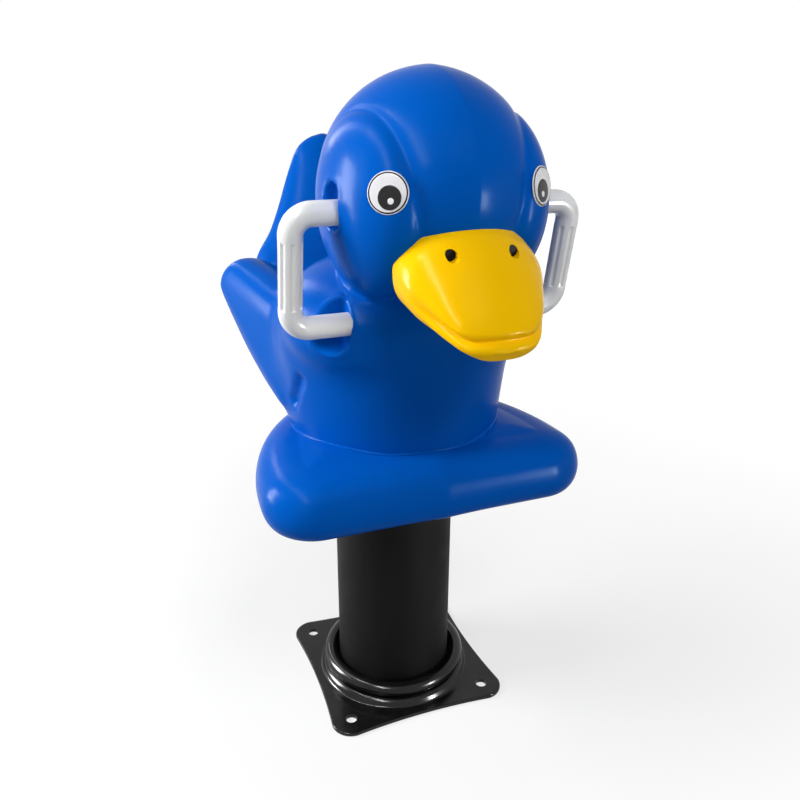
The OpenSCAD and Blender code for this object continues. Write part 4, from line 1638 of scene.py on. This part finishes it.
@dataclass
class Studio:
    """Pale floor, soft lamps, narrow glints and the camera of the photo."""

    target: Triple = (0.0, 0.0, 0.4)
    neck: Triple = (0.0, -0.05, 0.5)
    reach: float = 1.75
    azimuth: float = -20.7
    elevation: float = 20.7
    distance: float = 0.95
    # Focal length, size and middle of the photo in pixels
    focal: float = 785.0
    frame: float = 800.0
    middle: Pair = (393.4, 390.0)
    sensor: float = 36.0
    floor_size: float = 14.0
    floor_z: float = -0.0005
    floor_tone: Triple = (0.3, 0.3, 0.3)
    near_paper: Triple = (0.68, 0.68, 0.68)
    far_paper: Triple = EVEN
    paper_span: Pair = (0.25, 1.6)
    room_light: float = 0.03
    lamps: tuple[Lamp, ...] = (
        Lamp("key_panel", (-119.0, 24.0), (-91.0, 24.0), 0.8, 36.0, LampUse.SOFT),
        Lamp("front_panel", (-58.0, 5.0), (-32.0, 5.0), 0.8, 5.8, LampUse.SOFT),
        Lamp("top_panel", (-14.0, 46.0), (24.0, 46.0), 0.8, 14.0, LampUse.SOFT),
        Lamp("right_panel", (45.0, 4.0), (70.0, 4.0), 0.8, 6.0, LampUse.SOFT),
        Lamp("cheek_glint", (-118.0, -8.0), (-118.0, 24.0), 0.6, 120.0, LampUse.GLINT),
        Lamp("back_glint", (-167.0, 11.0), (-125.0, 53.0), 0.2, 11.0, LampUse.GLINT),
        Lamp("crown_glint", (-125.0, 53.0), (-66.0, 58.0), 0.2, 20.0, LampUse.GLINT),
        Lamp("brow_glint", (-66.0, 58.0), (-35.0, 30.0), 0.2, 34.0, LampUse.GLINT),
        Lamp("edge_glint", (36.0, -14.0), (36.0, 4.0), 0.1, 52.0, LampUse.GLINT))

    def light(self, plan: Lamp) -> None:
        """Set up one lamp.

        Args:
            plan: The lamp's plan.
        """
        first, last = Vector(heading(*plan.start)), Vector(heading(*plan.end))
        out = (first + last).normalized()
        along = (last - first - out * out.dot(last - first)).normalized()
        deselect()
        bpy.ops.object.light_add(type="AREA", location=Vector(self.neck) + out * self.reach)
        lamp = bpy.context.object
        lamp.name = lamp.data.name = plan.name
        lamp.rotation_euler = Matrix((along, out.cross(along), out)).transposed().to_euler()
        lamp.data.shape = "RECTANGLE"
        lamp.data.size, lamp.data.size_y = (last - first).length * self.reach, plan.width
        lamp.data.energy = plan.power
        lamp.visible_glossy = plan.use is LampUse.GLINT
        lamp.visible_diffuse = plan.use is LampUse.SOFT

    def floor(self) -> None:
        """A wide pale floor that looks white and keeps the shadow."""
        deselect()
        bpy.ops.mesh.primitive_plane_add(size=self.floor_size, location=(0, 0, self.floor_z))
        floor = named("studio_floor")
        bpy.ops.object.transform_apply(location=True, rotation=True, scale=True)
        shader = Shader("floor_paper", Base_Color=(*self.floor_tone, 1.0), Roughness=0.9,
                        Specular_IOR_Level=0.05)
        away = shader.tree.nodes.new("ShaderNodeVectorMath")
        away.operation = "LENGTH"
        shader.tree.links.new(shader.place, away.inputs[0])
        share = shader.spread(away.outputs["Value"], self.paper_span, 0.0, 1.0)
        shader.link(shader.blend(share, self.near_paper, self.far_paper), "Emission Color")
        shader.link(self.seen(shader.tree, 0.0), "Emission Strength")
        floor.data.materials.append(shader.material)

    def seen(self, tree: bpy.types.NodeTree, low: float) -> Socket:
        """A strength of 1 to the eye, reflections and clear pieces, and another for all else.

        Args:
            tree: The material's or world's nodes.
            low: Strength as light on the object.

        Returns:
            The strength.
        """
        light = tree.nodes.new("ShaderNodeLightPath")
        shown = light.outputs["Is Camera Ray"]
        for name in ("Is Glossy Ray", "Is Transmission Ray"):
            both = tree.nodes.new("ShaderNodeMath")
            both.operation = "MAXIMUM"
            tree.links.new(shown, both.inputs[0])
            tree.links.new(light.outputs[name], both.inputs[1])
            shown = both.outputs[0]
        level = tree.nodes.new("ShaderNodeMapRange")
        level.inputs["To Min"].default_value = low
        level.inputs["To Max"].default_value = 1.0
        tree.links.new(shown, level.inputs["Value"])
        return level.outputs["Result"]

    def world(self) -> None:
        """White to the eye and to reflections, and softer as light."""
        world = bpy.data.worlds.new("studio_white")
        bpy.context.scene.world = world
        world.use_nodes = True
        tree = world.node_tree
        back = tree.nodes["Background"]
        back.inputs["Color"].default_value = (1.0, 1.0, 1.0, 1.0)
        tree.links.new(self.seen(tree, self.room_light), back.inputs["Strength"])

    def camera(self) -> None:
        """The camera at the photo's place."""
        back = Vector(heading(self.azimuth, self.elevation))
        deselect()
        bpy.ops.object.camera_add(location=Vector(self.target) + back * self.distance)
        camera = bpy.context.object
        camera.rotation_euler = (-back).to_track_quat("-Z", "Y").to_euler()
        camera.data.sensor_width = self.sensor
        camera.data.lens = self.sensor * self.focal / self.frame
        camera.data.shift_x = (self.frame / 2 - self.middle[0]) / self.frame
        camera.data.shift_y = (self.middle[1] - self.frame / 2) / self.frame
        bpy.context.scene.camera = camera

    def build(self) -> None:
        """Set up floor, light and camera."""
        self.floor()
        self.world()
        self.camera()
        for lamp in self.lamps:
            self.light(lamp)
        bpy.context.scene.view_settings.view_transform = "Standard"


def main() -> None:
    """Build every sub-assembly in order and set up the picture."""
    logging.basicConfig(level=logging.INFO, format="%(message)s")
    finishes = Finishes()
    Ground().build(finishes)
    Column().build(finishes)
    Footrest().build(finishes)
    DuckBody().build(finishes)
    Bill().build(finishes)
    for side in Side:
        Handle(side).build(finishes)
    Eyes().build(finishes)
    Fixings().build(finishes)
    Studio().build()
    deselect()
    LOG.info("size written")


if __name__ == "__main__":
    main()
